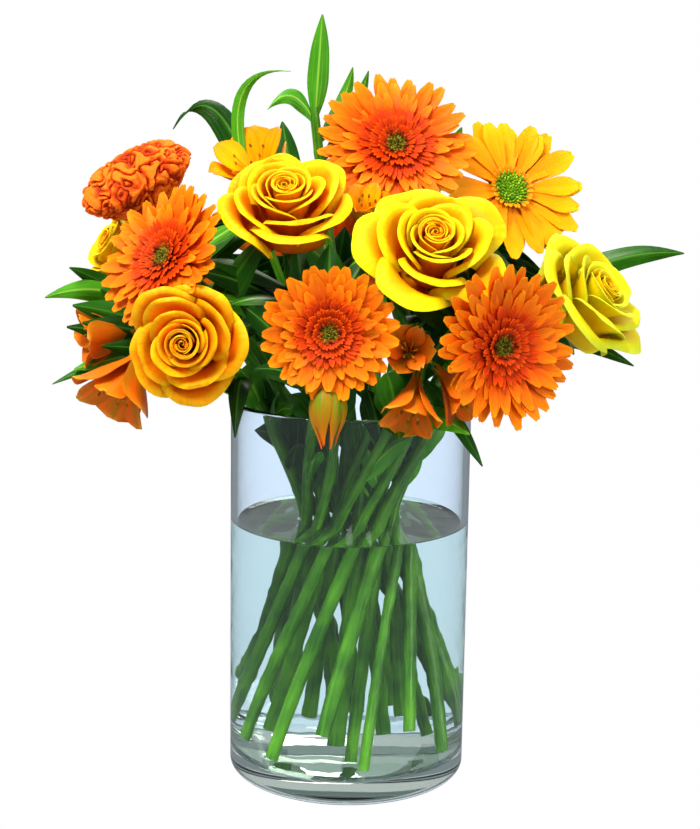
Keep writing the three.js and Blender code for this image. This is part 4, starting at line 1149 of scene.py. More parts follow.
@dataclass
class Stem:
    """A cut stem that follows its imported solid, with the leaves that it carries."""

    name: str
    end: Place = (0.0, 0.0, 0.0)
    leaves: tuple[Leaf, ...] = ()
    radius: float = 2.6
    seed: int = 1
    fresh_share: float = 0.25

    FOOT_HEIGHT = 40.0
    WAIST = (158.0, 181.0)
    STEP = 4.0
    RAYS = 16
    FULLNESS = 1.24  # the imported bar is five-sided, so it is slimmer than the stem
    HIGHEST_CUT = 34.0  # of the cut foot above the lowest one
    FEELER = 1.7  # radii that a ray looks for the stem's skin
    FEWEST_HITS = 5
    LARGEST_SHIFT = 1.5
    ONWARD, TURNED, HOMING = 0.55, 0.45, 0.06  # shares of the heading that a step keeps and gets
    SMOOTHINGS = 14
    LEAF_GAP = 2.2  # from a leaf's middle line to its solid, before the solid counts as ended
    STALK_RADII = (1.9, 1.5)  # of a side stalk, from the fork to its flower

    def skin(self) -> tuple[BVHTree, Array]:
        """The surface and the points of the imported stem, in millimetres."""
        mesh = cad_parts[f"{self.name}_stem"].data
        points = np.array([v.co for v in mesh.vertices]) / METRES
        faces = [tuple(p.vertices) for p in mesh.polygons]
        return BVHTree.FromPolygons(points.tolist(), faces), points

    def recentred(self, skin: BVHTree, guess: Array, heading: Array) -> Array:
        """Shift a guess to the middle of the stem, found by rays cast all round it."""
        side = unit(np.cross(heading, (0.3, 1.0, 0.2)))
        other = np.cross(heading, side)
        rows, reach = [], []
        for turn in np.arange(self.RAYS) / self.RAYS * 2 * math.pi:
            way = side * math.cos(turn) + other * math.sin(turn)
            far = skin.ray_cast(Vector(guess), Vector(way), self.radius * self.FEELER)[3]
            if far is not None:
                rows.append((1.0, math.cos(turn), math.sin(turn)))
                reach.append(far)
        if len(rows) < self.FEWEST_HITS:
            return guess
        fit = np.linalg.lstsq(np.array(rows), np.array(reach), rcond=None)[0]
        shift = np.clip(fit[1:], -self.LARGEST_SHIFT, self.LARGEST_SHIFT)
        return guess + side * shift[0] + other * shift[1]

    def trace(self, skin: BVHTree, points: Array) -> Array:
        """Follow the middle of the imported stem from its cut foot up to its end."""
        low, high = self.WAIST
        foot = points[points[:, 2] < self.FOOT_HEIGHT].mean(0)
        waist = points[(points[:, 2] > low) & (points[:, 2] < high)].mean(0)
        heading = unit(waist - foot)
        end = np.array(self.end, float)
        line = [foot, waist]
        gap = np.linalg.norm(end - waist)
        while gap > 1.5 * self.STEP:
            guess = self.recentred(skin, line[-1] + heading * self.STEP, heading)
            turned = unit(self.ONWARD * heading + self.TURNED * unit(guess - line[-1]))
            heading = unit(turned + self.HOMING * unit(end - guess))
            if np.linalg.norm(end - guess) > gap:
                break
            gap = np.linalg.norm(end - guess)
            line.append(guess)
        line.append(end)
        count = int(np.linalg.norm(waist - foot) / self.STEP)
        straight = foot + (waist - foot) * np.linspace(0, 1, count)[:, None]
        path = np.vstack([straight, line[2:]])
        for _ in range(self.SMOOTHINGS):
            path[1:-1] = 0.5 * path[1:-1] + 0.25 * (path[:-2] + path[2:])
        return path

    def sweep(self, trees: Trees, path: Array, radii: Array,
              seed: int) -> bpy.types.Mesh:
        """Sweep one stem or side stalk along its path."""
        mesh = bpy.data.meshes.new("line")
        mesh.from_pydata(path.tolist(), [(i, i + 1) for i in range(len(path) - 1)], [])
        mesh.attributes.new("radius", "FLOAT", "POINT").data.foreach_set("value", radii)
        return trees.stalk.run(new_object("line", mesh), Seed=seed,
                               Material=shared(GREEN_STALK))

    def reach(self, leaf: Leaf, root: Array, skin: BVHTree) -> float:
        """How far along a leaf its solid goes before something else stands in its way."""
        if leaf.whole:
            return 1.0
        shares = np.linspace(0, 1, 41)
        line = bezier(leaf.corners(root), shares)
        near = np.array([skin.find_nearest(Vector(p))[3] for p in line])
        gone = np.nonzero(near[4:] > self.LEAF_GAP)[0]
        return float(shares[gone[0] + 4]) if len(gone) else 1.0

    def side_stalks(self) -> list[list[Array]]:
        """The corners of each stalk that leaves the stem; a plain stem has none."""
        return []

    def crown(self, draft: MeshDraft, trees: Trees) -> None:
        """Add what the stem bears under its bloom; a plain stem bears nothing."""

    def build_head(self, trees: Trees) -> None:
        """Build the blooms of the stem; a shoot has only leaves."""

    def build(self, trees: Trees) -> Array:
        """Sweep the stem and its stalks, set the leaves on it and return the path it takes."""
        random = np.random.default_rng(self.seed)
        skin, points = self.skin()
        path = self.trace(skin, points)
        share = np.linspace(0, 1, len(path))
        girth = self.FULLNESS * random.uniform(0.86, 1.14)
        radii = self.radius * (girth - 0.3 * share + 0.05 * np.sin(share * 9 + self.seed))
        standing = path[:, 2] >= path[0, 2] + self.HIGHEST_CUT * random.random() ** 2
        draft = MeshDraft()
        draft.add_mesh(self.sweep(trees, path[standing], radii[standing], self.seed))
        for i, corners in enumerate(self.side_stalks()):
            line = bezier(corners, np.linspace(0, 1, 14))
            radii = np.linspace(*self.STALK_RADII, 14)
            draft.add_mesh(self.sweep(trees, line, radii, self.seed + i + 1))
        for leaf in self.leaves:
            root = path[np.abs(path[:, 2] - leaf.z).argmin()]
            leaf.add_to(draft, root, random, self.fresh_share, self.reach(leaf, root, skin))
        self.crown(draft, trees)
        publish(draft.build(f"{self.name}_stem_and_leaves"), Slot.GREEN, f"{self.name}_stem")
        return path


@dataclass
class Flower(Stem):
    """A stem with one bloom at its end, drawn about +Z at the origin and then set in place."""

    at: Place = (0.0, 0.0, 0.0)
    facing: Place = (0.0, -1.0, 0.0)

    NECK = 0.0  # from the bloom's middle back to the end of the stem

    def __post_init__(self) -> None:
        """End the stem inside the back of the bloom."""
        self.end = tuple(np.array(self.at) - unit(self.facing) * self.NECK)

    def place(self) -> Matrix:
        """Where the bloom stands and the way that it looks."""
        return stance(self.at, self.facing)

    def show(self, draft: MeshDraft, part: str, slot: Slot, solid: str) -> None:
        """Set a part of the bloom in its place and publish it."""
        draft.set_at(self.place())
        publish(draft.build(f"{self.name}_{part}"), slot, f"{self.name}_{solid}")

    def calyx(self, knots: Sequence[Pair], steps: int, sides: int) -> MeshDraft:
        """The turned green body behind the bloom, through its knots of radius and height."""
        line = smooth_curve(knots, np.linspace(0, 1, steps))
        draft = MeshDraft()
        draft.add(*lathe(np.vstack([(0, line[0, 1]), line, (0, line[-1, 1])]), sides),
                  shared(CALYX_GREEN))
        return draft


@dataclass
class Foliage:
    """The small leaves that fill the bouquet between the blooms, each on one of the stems."""

    name: str
    count: int
    roots: tuple[float, float]  # lowest and highest
    rise: tuple[float, float]  # of the tip above the root
    reach: tuple[float, float]  # of the tip from the vase's axis
    width: tuple[float, float]
    seed: int
    arch: float = 8.0
    depth_share: float = 0.8  # the bouquet is flatter than it is wide
    turn_jitter: float = 0.2
    fresh_share: float = 0.2

    def build(self, paths: list[Array]) -> None:
        """Set the leaves in turn round the bouquet, each on the stem that passes nearest."""
        random = np.random.default_rng(self.seed)
        draft = MeshDraft()
        for i in range(self.count):
            turn = i * GOLDEN_ANGLE + random.uniform(-self.turn_jitter, self.turn_jitter)
            way = np.array([math.cos(turn), math.sin(turn) * self.depth_share, 0])
            height, rise, reach, width = (random.uniform(*pair) for pair in (
                self.roots, self.rise, self.reach, self.width))
            roots = [path[np.abs(path[:, 2] - height).argmin()] for path in paths]
            root = max(roots, key=lambda place: place @ way - abs(place @ (way[1], -way[0], 0)))
            tip = way * reach + (0, 0, height + rise)
            leaf = Leaf(height, tuple(tip), width=width, arch=self.arch)
            leaf.add_to(draft, root, random, self.fresh_share)
        publish(draft.build(self.name), Slot.GREEN)


# ---- gerberas
RAY_WIDTHS = (0.3, 0.5, 0.76, 0.96, 1.0, 0.66)  # from root to tip


def ray_petal(length: float, width: float, rows: int, columns: int, curl: float = 0.0,
              notch: float = 0.0) -> Object:
    """One ray petal along +X from the origin, its upper face to +Z.

    Args:
        length: From root to tip.
        width: At its widest, two thirds of the way out.
        rows: Points along it.
        columns: Points across it.
        curl: How far the tip rises over a straight petal; below 0 it droops.
        notch: Depth of the clefts in the tip, as a share of the length.

    Returns:
        The petal, as a scratch object.
    """
    shares = np.linspace(0, 1, rows)[:, None]
    side = np.linspace(-1, 1, columns)[None]
    half = width / 2 * smooth_number(RAY_WIDTHS, shares)
    tip = notch * (np.abs(np.sin(side * math.pi)) - 0.5) - 0.1 * side**2
    x = length * shares * (1 + tip * shares**3)
    channel = 0.16 * half * (np.abs(side) ** 2 - 0.5 * np.exp(-(side * 5) ** 2))
    draft = MeshDraft()
    draft.add_sheet(np.stack([x, half * side, channel + curl * shares**2.2], -1), 0.5)
    return draft.pattern()


def floret_bud(height: float, width: float) -> Object:
    """One shut floret along +X, a pointed bud of a few faces."""
    profile = np.array([(0, 0), (width * 0.32, 0.1 * height), (width * 0.5, 0.6 * height),
                        (width * 0.26, height), (0, height * 1.06)])
    points, faces, uv = lathe(profile, 6)
    draft = MeshDraft()
    draft.add(points[:, [2, 0, 1]], faces, uv)
    return draft.pattern()


@dataclass
class RayRow:
    """One row of ray petals: roots and tips as a share of the head's radius and a height."""

    count: int
    root: tuple[float, float]
    tip: tuple[float, float]
    width: float
    curl: float
    short: bool = False


@dataclass
class Gerbera(Flower):
    """A gerbera head on its bare stem: rows of ray petals, a crown of short ones and an eye."""

    radius: float = 3.25
    head: float = 44.0
    cup: float = 4.0
    single: bool = False

    NECK = 18.0
    CALYX_DEPTH = 22.0
    EYE = 0.145  # of the head's radius
    OLIVE, LIME = 0.1, 0.22  # the part of it with shut florets, in a double and a single head

    def rows(self) -> list[RayRow]:
        """The rows of the head from the back to the front."""
        cup = self.cup
        if self.single:
            return [RayRow(17, (0.2, -1.5), (0.99, cup), 13.5, -1.5),
                    RayRow(15, (0.19, 0.6), (0.92, 0.8 * cup + 1), 12.5, -1.0),
                    RayRow(26, (0.19, 2.2), (0.3, 4.6), 2.6, 0.4, short=True)]
        return [RayRow(27, (0.2, -3.4), (1.0, cup), 9.4, -1.6),
                RayRow(25, (0.19, -1.4), (0.9, 0.85 * cup + 0.6), 8.4, -1.0),
                RayRow(24, (0.18, 0.4), (0.72, 0.6 * cup + 2.4), 6.4, -0.4),
                RayRow(46, (0.16, 1.6), (0.52, 0.2 * cup + 5.0), 3.6, 0.4, short=True),
                RayRow(40, (0.13, 2.2), (0.36, 6.4), 2.8, 0.5, short=True),
                RayRow(30, (0.11, 2.8), (0.24, 6.8), 2.0, 0.5, short=True)]

    def add_rays(self, draft: MeshDraft, whorl: WhorlTree, row: RayRow, number: int,
                 finish: Material) -> None:
        """Add one row of petals to the head."""
        run, rise = (row.tip[0] - row.root[0]) * self.head, row.tip[1] - row.root[1]
        detail = (6, 4) if row.short else (9, 7)
        petal = ray_petal(math.hypot(run, rise), row.width, *detail, row.curl, 0.03)
        tilt = math.atan2(rise - row.curl, run)
        step = 2 * math.pi / row.count
        root = row.root[0] * self.head
        draft.add_mesh(whorl.run(
            Petal=petal, Count=row.count, Radius=(root, root),
            Height=(row.root[1], row.root[1] + 0.5), Tilt=(tilt, tilt), Turn_Step=step,
            First_Turn=(self.seed + number) * 0.7, Turn_Jitter=0.26 * step, Tilt_Jitter=0.1,
            Size_Jitter=0.055, Ripple=1.6, Seed=self.seed + number, Material=finish))
        drop(petal)

    def build_head(self, trees: Trees) -> None:
        """Set the petal rows and the eye on the head."""
        finishes = (AMBER_RAY, AMBER_CROWN) if self.single else (ORANGE_RAY, ORANGE_CROWN)
        rays = MeshDraft()
        for number, row in enumerate(self.rows()):
            self.add_rays(rays, trees.whorl, row, number, shared(finishes[row.short]))
        self.show(rays, "petals", Slot.AMBER if self.single else Slot.ORANGE, "rays")
        self.build_eye(trees.whorl)

    def build_eye(self, whorl: WhorlTree) -> None:
        """Set the shut florets on their seat, and in a double head the brown ones round them."""
        finish = shared(LIME_EYE if self.single else OLIVE_EYE)
        inner = (self.LIME if self.single else self.OLIVE) * self.head
        bud = floret_bud(3.2, 1.9)
        eye = MeshDraft()
        eye.add_mesh(whorl.run(
            Petal=bud, Count=110, Radius=(0.3, inner), Height=(2.6, 1.6), Tilt=(1.5, 1.1),
            Scale=(0.6, 1.0), Spread_Power=0.55, Seed=self.seed, Tilt_Jitter=0.1,
            Material=finish))
        if not self.single:
            eye.add_mesh(whorl.run(
                Petal=bud, Count=36, Radius=(inner, self.EYE * self.head), Height=(2.2, 2.4),
                Tilt=(1.2, 0.8), Scale=(1.1, 1.35), Seed=self.seed + 7, Tilt_Jitter=0.2,
                Material=shared(BROWN_EYE)))
        drop(bud)
        # The seat shows between the florets; its shade of 0.1 takes the dark end of the gradient,
        # as painted shade between them.
        seat = np.array([(0, 0.4), (0.2 * self.head, 0.4), (0.2 * self.head, 2.4),
                         (0.1 * self.head, 3.2), (0, 3.3)])
        eye.add(*lathe(seat, 24), finish, 0.1)
        self.show(eye, "eye", Slot.LIME if self.single else Slot.OLIVE, "disc")

    def crown(self, draft: MeshDraft, trees: Trees) -> None:
        """Add the green cup of narrow scales behind the head."""
        wide = 0.2 * self.head
        cup = self.calyx(((3.0, -self.CALYX_DEPTH), (4.2, -18.0), (0.84 * wide, -12.0),
                          (wide, -5.0), (0.8 * wide, -1.5)), 14, 24)
        scale = ray_petal(15.0, 3.2, 6, 4, 1.5)
        for row, (height, tilt) in enumerate(((-17.0, 0.95), (-12.0, 0.75))):
            cup.add_mesh(trees.whorl.run(
                Petal=scale, Count=14, Radius=(0.6 * wide, 0.6 * wide), Height=(height, height),
                Tilt=(tilt, tilt), Turn_Step=2 * math.pi / 14, First_Turn=row * 0.22,
                Seed=self.seed + row, Material=shared(CALYX_GREEN)))
        drop(scale)
        cup.set_at(self.place())
        draft.join(cup)


# ---- roses
class RoseTint(Enum):
    """The finishes of a rose, its outer petals first and then its heart."""

    LEMON = (LEMON_ROSE, LEMON_HEART)
    LIME = (LIME_ROSE, LEMON_ROSE)
    SUN = (SUN_ROSE, LEMON_HEART)
    GOLD = (GOLD_ROSE, GOLD_HEART)


@dataclass
class Rose(Flower):
    """A rose: petals rolled tight in the heart, opening to reflexed guard petals outside."""

    radius: float = 3.25
    bloom: float = 34.0
    spread: float = 0.2
    tint: RoseTint = RoseTint.LEMON

    NECK = 46.0
    DEPTH = 38.0
    THICKNESS = 0.4
    HEART_PETALS = 9
    HEART_AGE = 0.5
    TURN_SPREAD = 0.09
    AGES = (0.0, 0.25, 0.5, 0.7, 0.85, 1.0)
    SWEEPS = (150.0, 125.0, 105.0, 76.0, 60.0, 52.0)  # half the degrees that a petal wraps, by age

    def guard_turn(self) -> float:
        """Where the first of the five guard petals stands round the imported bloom."""
        reach = 0.94 * (self.bloom + 10 * self.spread)
        return float(np.angle(-fold_phase(f"{self.name}_bloom", self.place(), reach, 5))) / 5

    def profile(self, age: float) -> Array:
        """Radius and height of a petal's middle line, root to lip; age is 0 at the heart."""
        r, s = self.bloom, self.spread
        k = r / 34
        stages = np.array([
            [(1.5, -30), (3.0 * k, -16), (2.6 * k, -4), (1.5 * k, 4.2), (0.8 * k, 5.0)],
            [(3, -31), (5.2 * k, -18), (5.8 * k, -5), (6.0 * k, 5.2), (6.3 * k, 6.2)],
            [(5, -32), (8.0 * k, -20), (9.2 * k, -7), (10.2 * k, 4.4), (11.2 * k, 6.2)],
            [(6, -33), (10.0 * k, -21), (12.5 * k, -9), (16.5 * k, 1.2), (20.0 * k, 6.0)],
            [(7, -35), (0.50 * r, -25), (0.58 * r, -12), (0.74 * r, -2.4), (0.87 * r, 3.6 - s)],
            [(9, -36), (0.70 * r, -27), (0.82 * r, -14 - s), (0.94 * r + 3 * s, -6 - 2 * s),
             (r + 2 + 8 * s, -3 - 5 * s)],
        ])
        place = float(np.interp(age, self.AGES, range(len(stages))))
        low = min(int(place), len(stages) - 2)
        return stages[low] + (stages[low + 1] - stages[low]) * (place - low)

    def petal(self, turn: float, age: float, random: Random) -> Array:
        """The grid of one petal that stands at the given turn round the bloom."""
        rows, columns = 17, 21
        v = np.linspace(0, 1, rows)[:, None]
        side = np.linspace(-1, 1, columns)[None]
        grown = max(0.0, (age - self.HEART_AGE) / (1 - self.HEART_AGE))
        half = math.radians(float(np.interp(age, self.AGES, self.SWEEPS)))
        skew, lift, phase, pace = random.uniform(-1, 1, 4)
        point_out = (0.03 + 0.16 * grown) * np.exp(-((side - 0.15 * skew) * 3.4) ** 2)
        reach = v * (1 - (0.1 + 0.42 * age) * np.abs(side) ** 2.3 + point_out
                     + 0.03 * skew * side * (1 - grown))
        profile = self.profile(age)
        line = smooth_curve(profile, reach.ravel()).reshape(rows, columns, 2)
        over = np.clip(reach - 1, 0, None)
        angle = turn + side * half * (0.4 + 0.6 * np.minimum(1, v * 1.7) ** 0.8)
        lean = (1.0 + 0.075 * profile[3, 0]) * side * np.minimum(1, 2 * v)
        wave = (0.2 + 1.5 * grown) * np.sin(side * (2.8 + pace) + 3 * phase) * v**2
        roll = np.clip((v - 0.8) / 0.2, 0, 1) ** 2
        curl = roll * (0.35 + np.abs(side) ** 1.5) * (0.25 + grown)
        crease = -2.2 * grown * np.exp(-((side - 0.1 * skew) * 5) ** 2) * v**3
        r = line[..., 0] + lean + wave + crease + 2.4 * curl + over * 16 * age
        z = (line[..., 1] - 2.8 * curl - 0.5 * lean * age - over * 6
             + lift * (0.6 + 1.7 * grown) * v**2
             + 0.9 * np.sin(side * 4 + 3 * phase) * v**3 * (0.25 + grown))
        return np.stack([r * np.cos(angle), r * np.sin(angle), z], -1)

    def whorls(self) -> list[tuple[float, float]]:
        """Turn and age of every petal from the guards in to the heart."""
        guards = [(i * 2 * math.pi / 5, 1.0) for i in range(5)]
        outer = [(0.7 + i * math.pi / 2, 0.86) for i in range(4)]
        middle = [(step + i * 2 * math.pi / 3, age) for step, age in ((0.2, 0.72), (1.2, 0.6))
                  for i in range(3)]
        heart = [(i * GOLDEN_ANGLE, self.HEART_AGE * (1 - i / (self.HEART_PETALS - 1)))
                 for i in range(self.HEART_PETALS)]
        return guards + outer + middle + heart

    def build_head(self, trees: Trees) -> None:
        """Wrap the petals round the heart, the guards first."""
        random = np.random.default_rng(self.seed + 100)
        skin, deep = (shared(finish) for finish in self.tint.value)
        first = self.guard_turn()
        draft = MeshDraft()
        for turn, age in self.whorls():
            grid = self.petal(first + turn + random.normal(0, self.TURN_SPREAD), age,
                              random)
            # The heart petals take the deeper orange heart finish: partly their own colour, partly
            # painted shade of the bloom's depths.
            draft.add_sheet(grid, self.THICKNESS, deep if age < self.HEART_AGE * 0.9 else skin,
                            random.random())
        self.show(draft, "petals", Slot.YELLOW, "bloom")

    def crown(self, draft: MeshDraft, trees: Trees) -> None:
        """Add the swollen hip under the bloom and its five bent sepals."""
        foot = -self.DEPTH
        hip = self.calyx(((3.2, foot - 12), (4.6, foot - 8), (6.4, foot - 4), (6.0, foot),
                          (9.0, foot + 3)), 12, 20)
        sepal = ray_petal(16.0, 6.0, 7, 5, -4.0)
        hip.add_mesh(trees.whorl.run(
            Petal=sepal, Count=5, Radius=(5.0, 5.0), Height=(foot, foot), Tilt=(-0.1, -0.1),
            Turn_Step=2 * math.pi / 5, Tilt_Jitter=0.2, Seed=self.seed,
            Material=shared(CALYX_GREEN)))
        drop(sepal)
        hip.set_at(self.place())
        draft.join(hip)


# ---- alstroemeria
@dataclass
class Bloom:
    """One alstroemeria flower or bud on its short stalk."""

    at: Place
    facing: Place
    radius: float
    length: float
    bud: bool = False


@dataclass
class Spray(Stem):
    """An alstroemeria stem that forks into stalks, each with a trumpet of six petals or a bud."""

    radius: float = 3.0
    blooms: tuple[Bloom, ...] = ()
    amber: bool = False

    THICKNESS = 0.45

    def skin_finish(self) -> Material:
        """The finish of the open petals."""
        return shared(AMBER_TEPAL if self.amber else CORAL_TEPAL)

    def side_stalks(self) -> list[list[Array]]:
        """The corners of each stalk from the fork to the foot of its flower."""
        fork = np.array(self.end, float)
        arrival = unit(fork - (0, 0, 200))
        stalks = []
        for bloom in self.blooms:
            forward = unit(bloom.facing)
            base = np.array(bloom.at) - forward * (bloom.length + 0.3)
            stalks.append([fork - arrival * 2, fork * 0.6 + base * 0.4 + arrival * 3,
                           base - forward * 12, base + forward * 0.6])
        return stalks

    def first_tepal(self, bloom: Bloom, node: str, place: Matrix) -> float:
        """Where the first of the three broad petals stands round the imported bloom."""
        return float(np.angle(fold_phase(node, place, 0.93 * bloom.radius, 3))) / 3

    def tepal(self, bloom: Bloom, turn: float, narrow: bool,
              random: Random) -> Array:
        """The grid of one petal of a trumpet."""
        v, side = np.linspace(0, 1, 15), np.linspace(-1, 1, 9)
        r, length = bloom.radius, bloom.length
        if narrow:
            line = ((2.2, -0.96 * length), (3.2, -0.6 * length), (0.46 * r, -0.26 * length),
                    (0.72 * r, -0.06 * length), (0.9 * r, 0.04 * length))
            widths = (0.8, 0.16 * r, 0.46 * r, 0.74 * r, 0.66 * r, 0.16 * r)
        else:
            line = ((2.4, -length), (3.8, -0.7 * length), (0.56 * r, -0.36 * length),
                    (0.84 * r, -0.12 * length), (r, -0.02 * length))
            widths = (1.0, 0.24 * r, 0.74 * r, 1.12 * r, r, 0.26 * r)
        middle = smooth_curve(line, v)
        half = smooth_number(widths, v)[:, None] / 2
        way = np.array([math.cos(turn), math.sin(turn), 0])
        across = np.array([-math.sin(turn), math.cos(turn), 0])
        wave = random.uniform(0.5, 1.1) * np.sin(side * 3 + random.uniform(0, 2 * math.pi))
        fold = half * 0.28 * side[None] ** 2 - wave[None] * v[:, None] ** 3
        return ((middle[:, :1] - fold)[..., None] * way + (half * side[None])[..., None] * across
                + (middle[:, 1:] + 0.35 * fold)[..., None] * np.array([0, 0, 1]))

    def build_head(self, trees: Trees) -> None:
        """Set each flower and bud of the spray at the end of its stalk."""
        random = np.random.default_rng(self.seed + 300)
        for number, bloom in enumerate(self.blooms, 1):
            node = f"{self.name}_petals_{number}"
            place = stance(bloom.at, bloom.facing)
            draft = MeshDraft()
            if bloom.bud:
                self.add_bud(draft, bloom)
            else:
                first = self.first_tepal(bloom, node, place)
                for i in range(6):
                    grid = self.tepal(bloom, first + i * math.pi / 3, i % 2 == 1, random)
                    draft.add_sheet(grid, self.THICKNESS, self.skin_finish(), random.random())
                self.add_stamens(draft, bloom, random)
            draft.set_at(place)
            publish(draft.build(f"{self.name}_bloom_{number}"),
                    Slot.AMBER if self.amber else Slot.CORAL, node)

    def add_stamens(self, draft: MeshDraft, bloom: Bloom, random: Random) -> None:
        """Add six curved threads with their anthers."""
        for i in range(6):
            turn = i * math.pi / 3 + random.uniform(-0.2, 0.2)
            reach = bloom.radius * random.uniform(0.22, 0.4)
            way = np.array([math.cos(turn), math.sin(turn), 0])
            corners = [np.array([0, 0, -0.8 * bloom.length]), way * 2 - (0, 0, 0.4 * bloom.length),
                       way * reach - (0, 0, 0.1 * bloom.length)]
            line = bezier(corners, np.linspace(0, 1, 8))
            draft.add(*tube(line, np.linspace(0.5, 0.3, 8), 6), self.skin_finish(), 0.8)
            bead = line[-1] + np.outer((-1.4, -0.7, 0.7, 1.6), (0, 0, 1))
            draft.add(*tube(bead, np.array([0.3, 0.8, 0.8, 0.3]), 6), shared(ANTHER),
                      random.random())

    def add_bud(self, draft: MeshDraft, bloom: Bloom) -> None:
        """Add the six folded petals of a shut bud, their tips just parted."""
        v, side = np.linspace(0, 1, 17), np.linspace(-1, 1, 11)
        outline = smooth_number((0.22, 0.55, 0.92, 1.0, 0.86, 0.6, 0.42), v)[:, None]
        taper = smooth_number((1.0, 1.0, 1.0, 0.95, 0.8, 0.5, 0.12), v)[:, None]
        for i in range(6):
            inner = i % 2
            angle = i * math.pi / 3 + math.radians(30 if inner else 42) * taper * side[None]
            keel = 0.12 * (1 - np.abs(side))[None] * np.sin(v * math.pi)[:, None]
            r = bloom.radius * (outline + keel - 0.09 * inner)
            z = np.repeat(-bloom.length * (1 - v)[:, None] + 2 * inner * v[:, None], 11, 1)
            grid = np.stack([r * np.cos(angle), r * np.sin(angle), z], -1)
            draft.add_sheet(grid, 0.5, shared(BUD_TEPAL), 0.4 + 0.1 * i)


# ---- cockscomb
@dataclass
class Cockscomb(Flower):
    """A cockscomb: a plush crest of winding ridges on its stem."""

    radius: float = 4.0
    size: Place = (22.0, 40.0, 21.0)

    NECK = 21.3

    def build_head(self, trees: Trees) -> None:
        """Raise the ridges and set the crest in its place."""
        wide, deep, tall = self.size
        draft = MeshDraft()
        draft.add_mesh(trees.crest.run(Wide=wide, Deep=deep, Tall=tall,
                                       Material=shared(RUST_PLUSH)))
        self.show(draft, "plush", Slot.RUST, "crest")


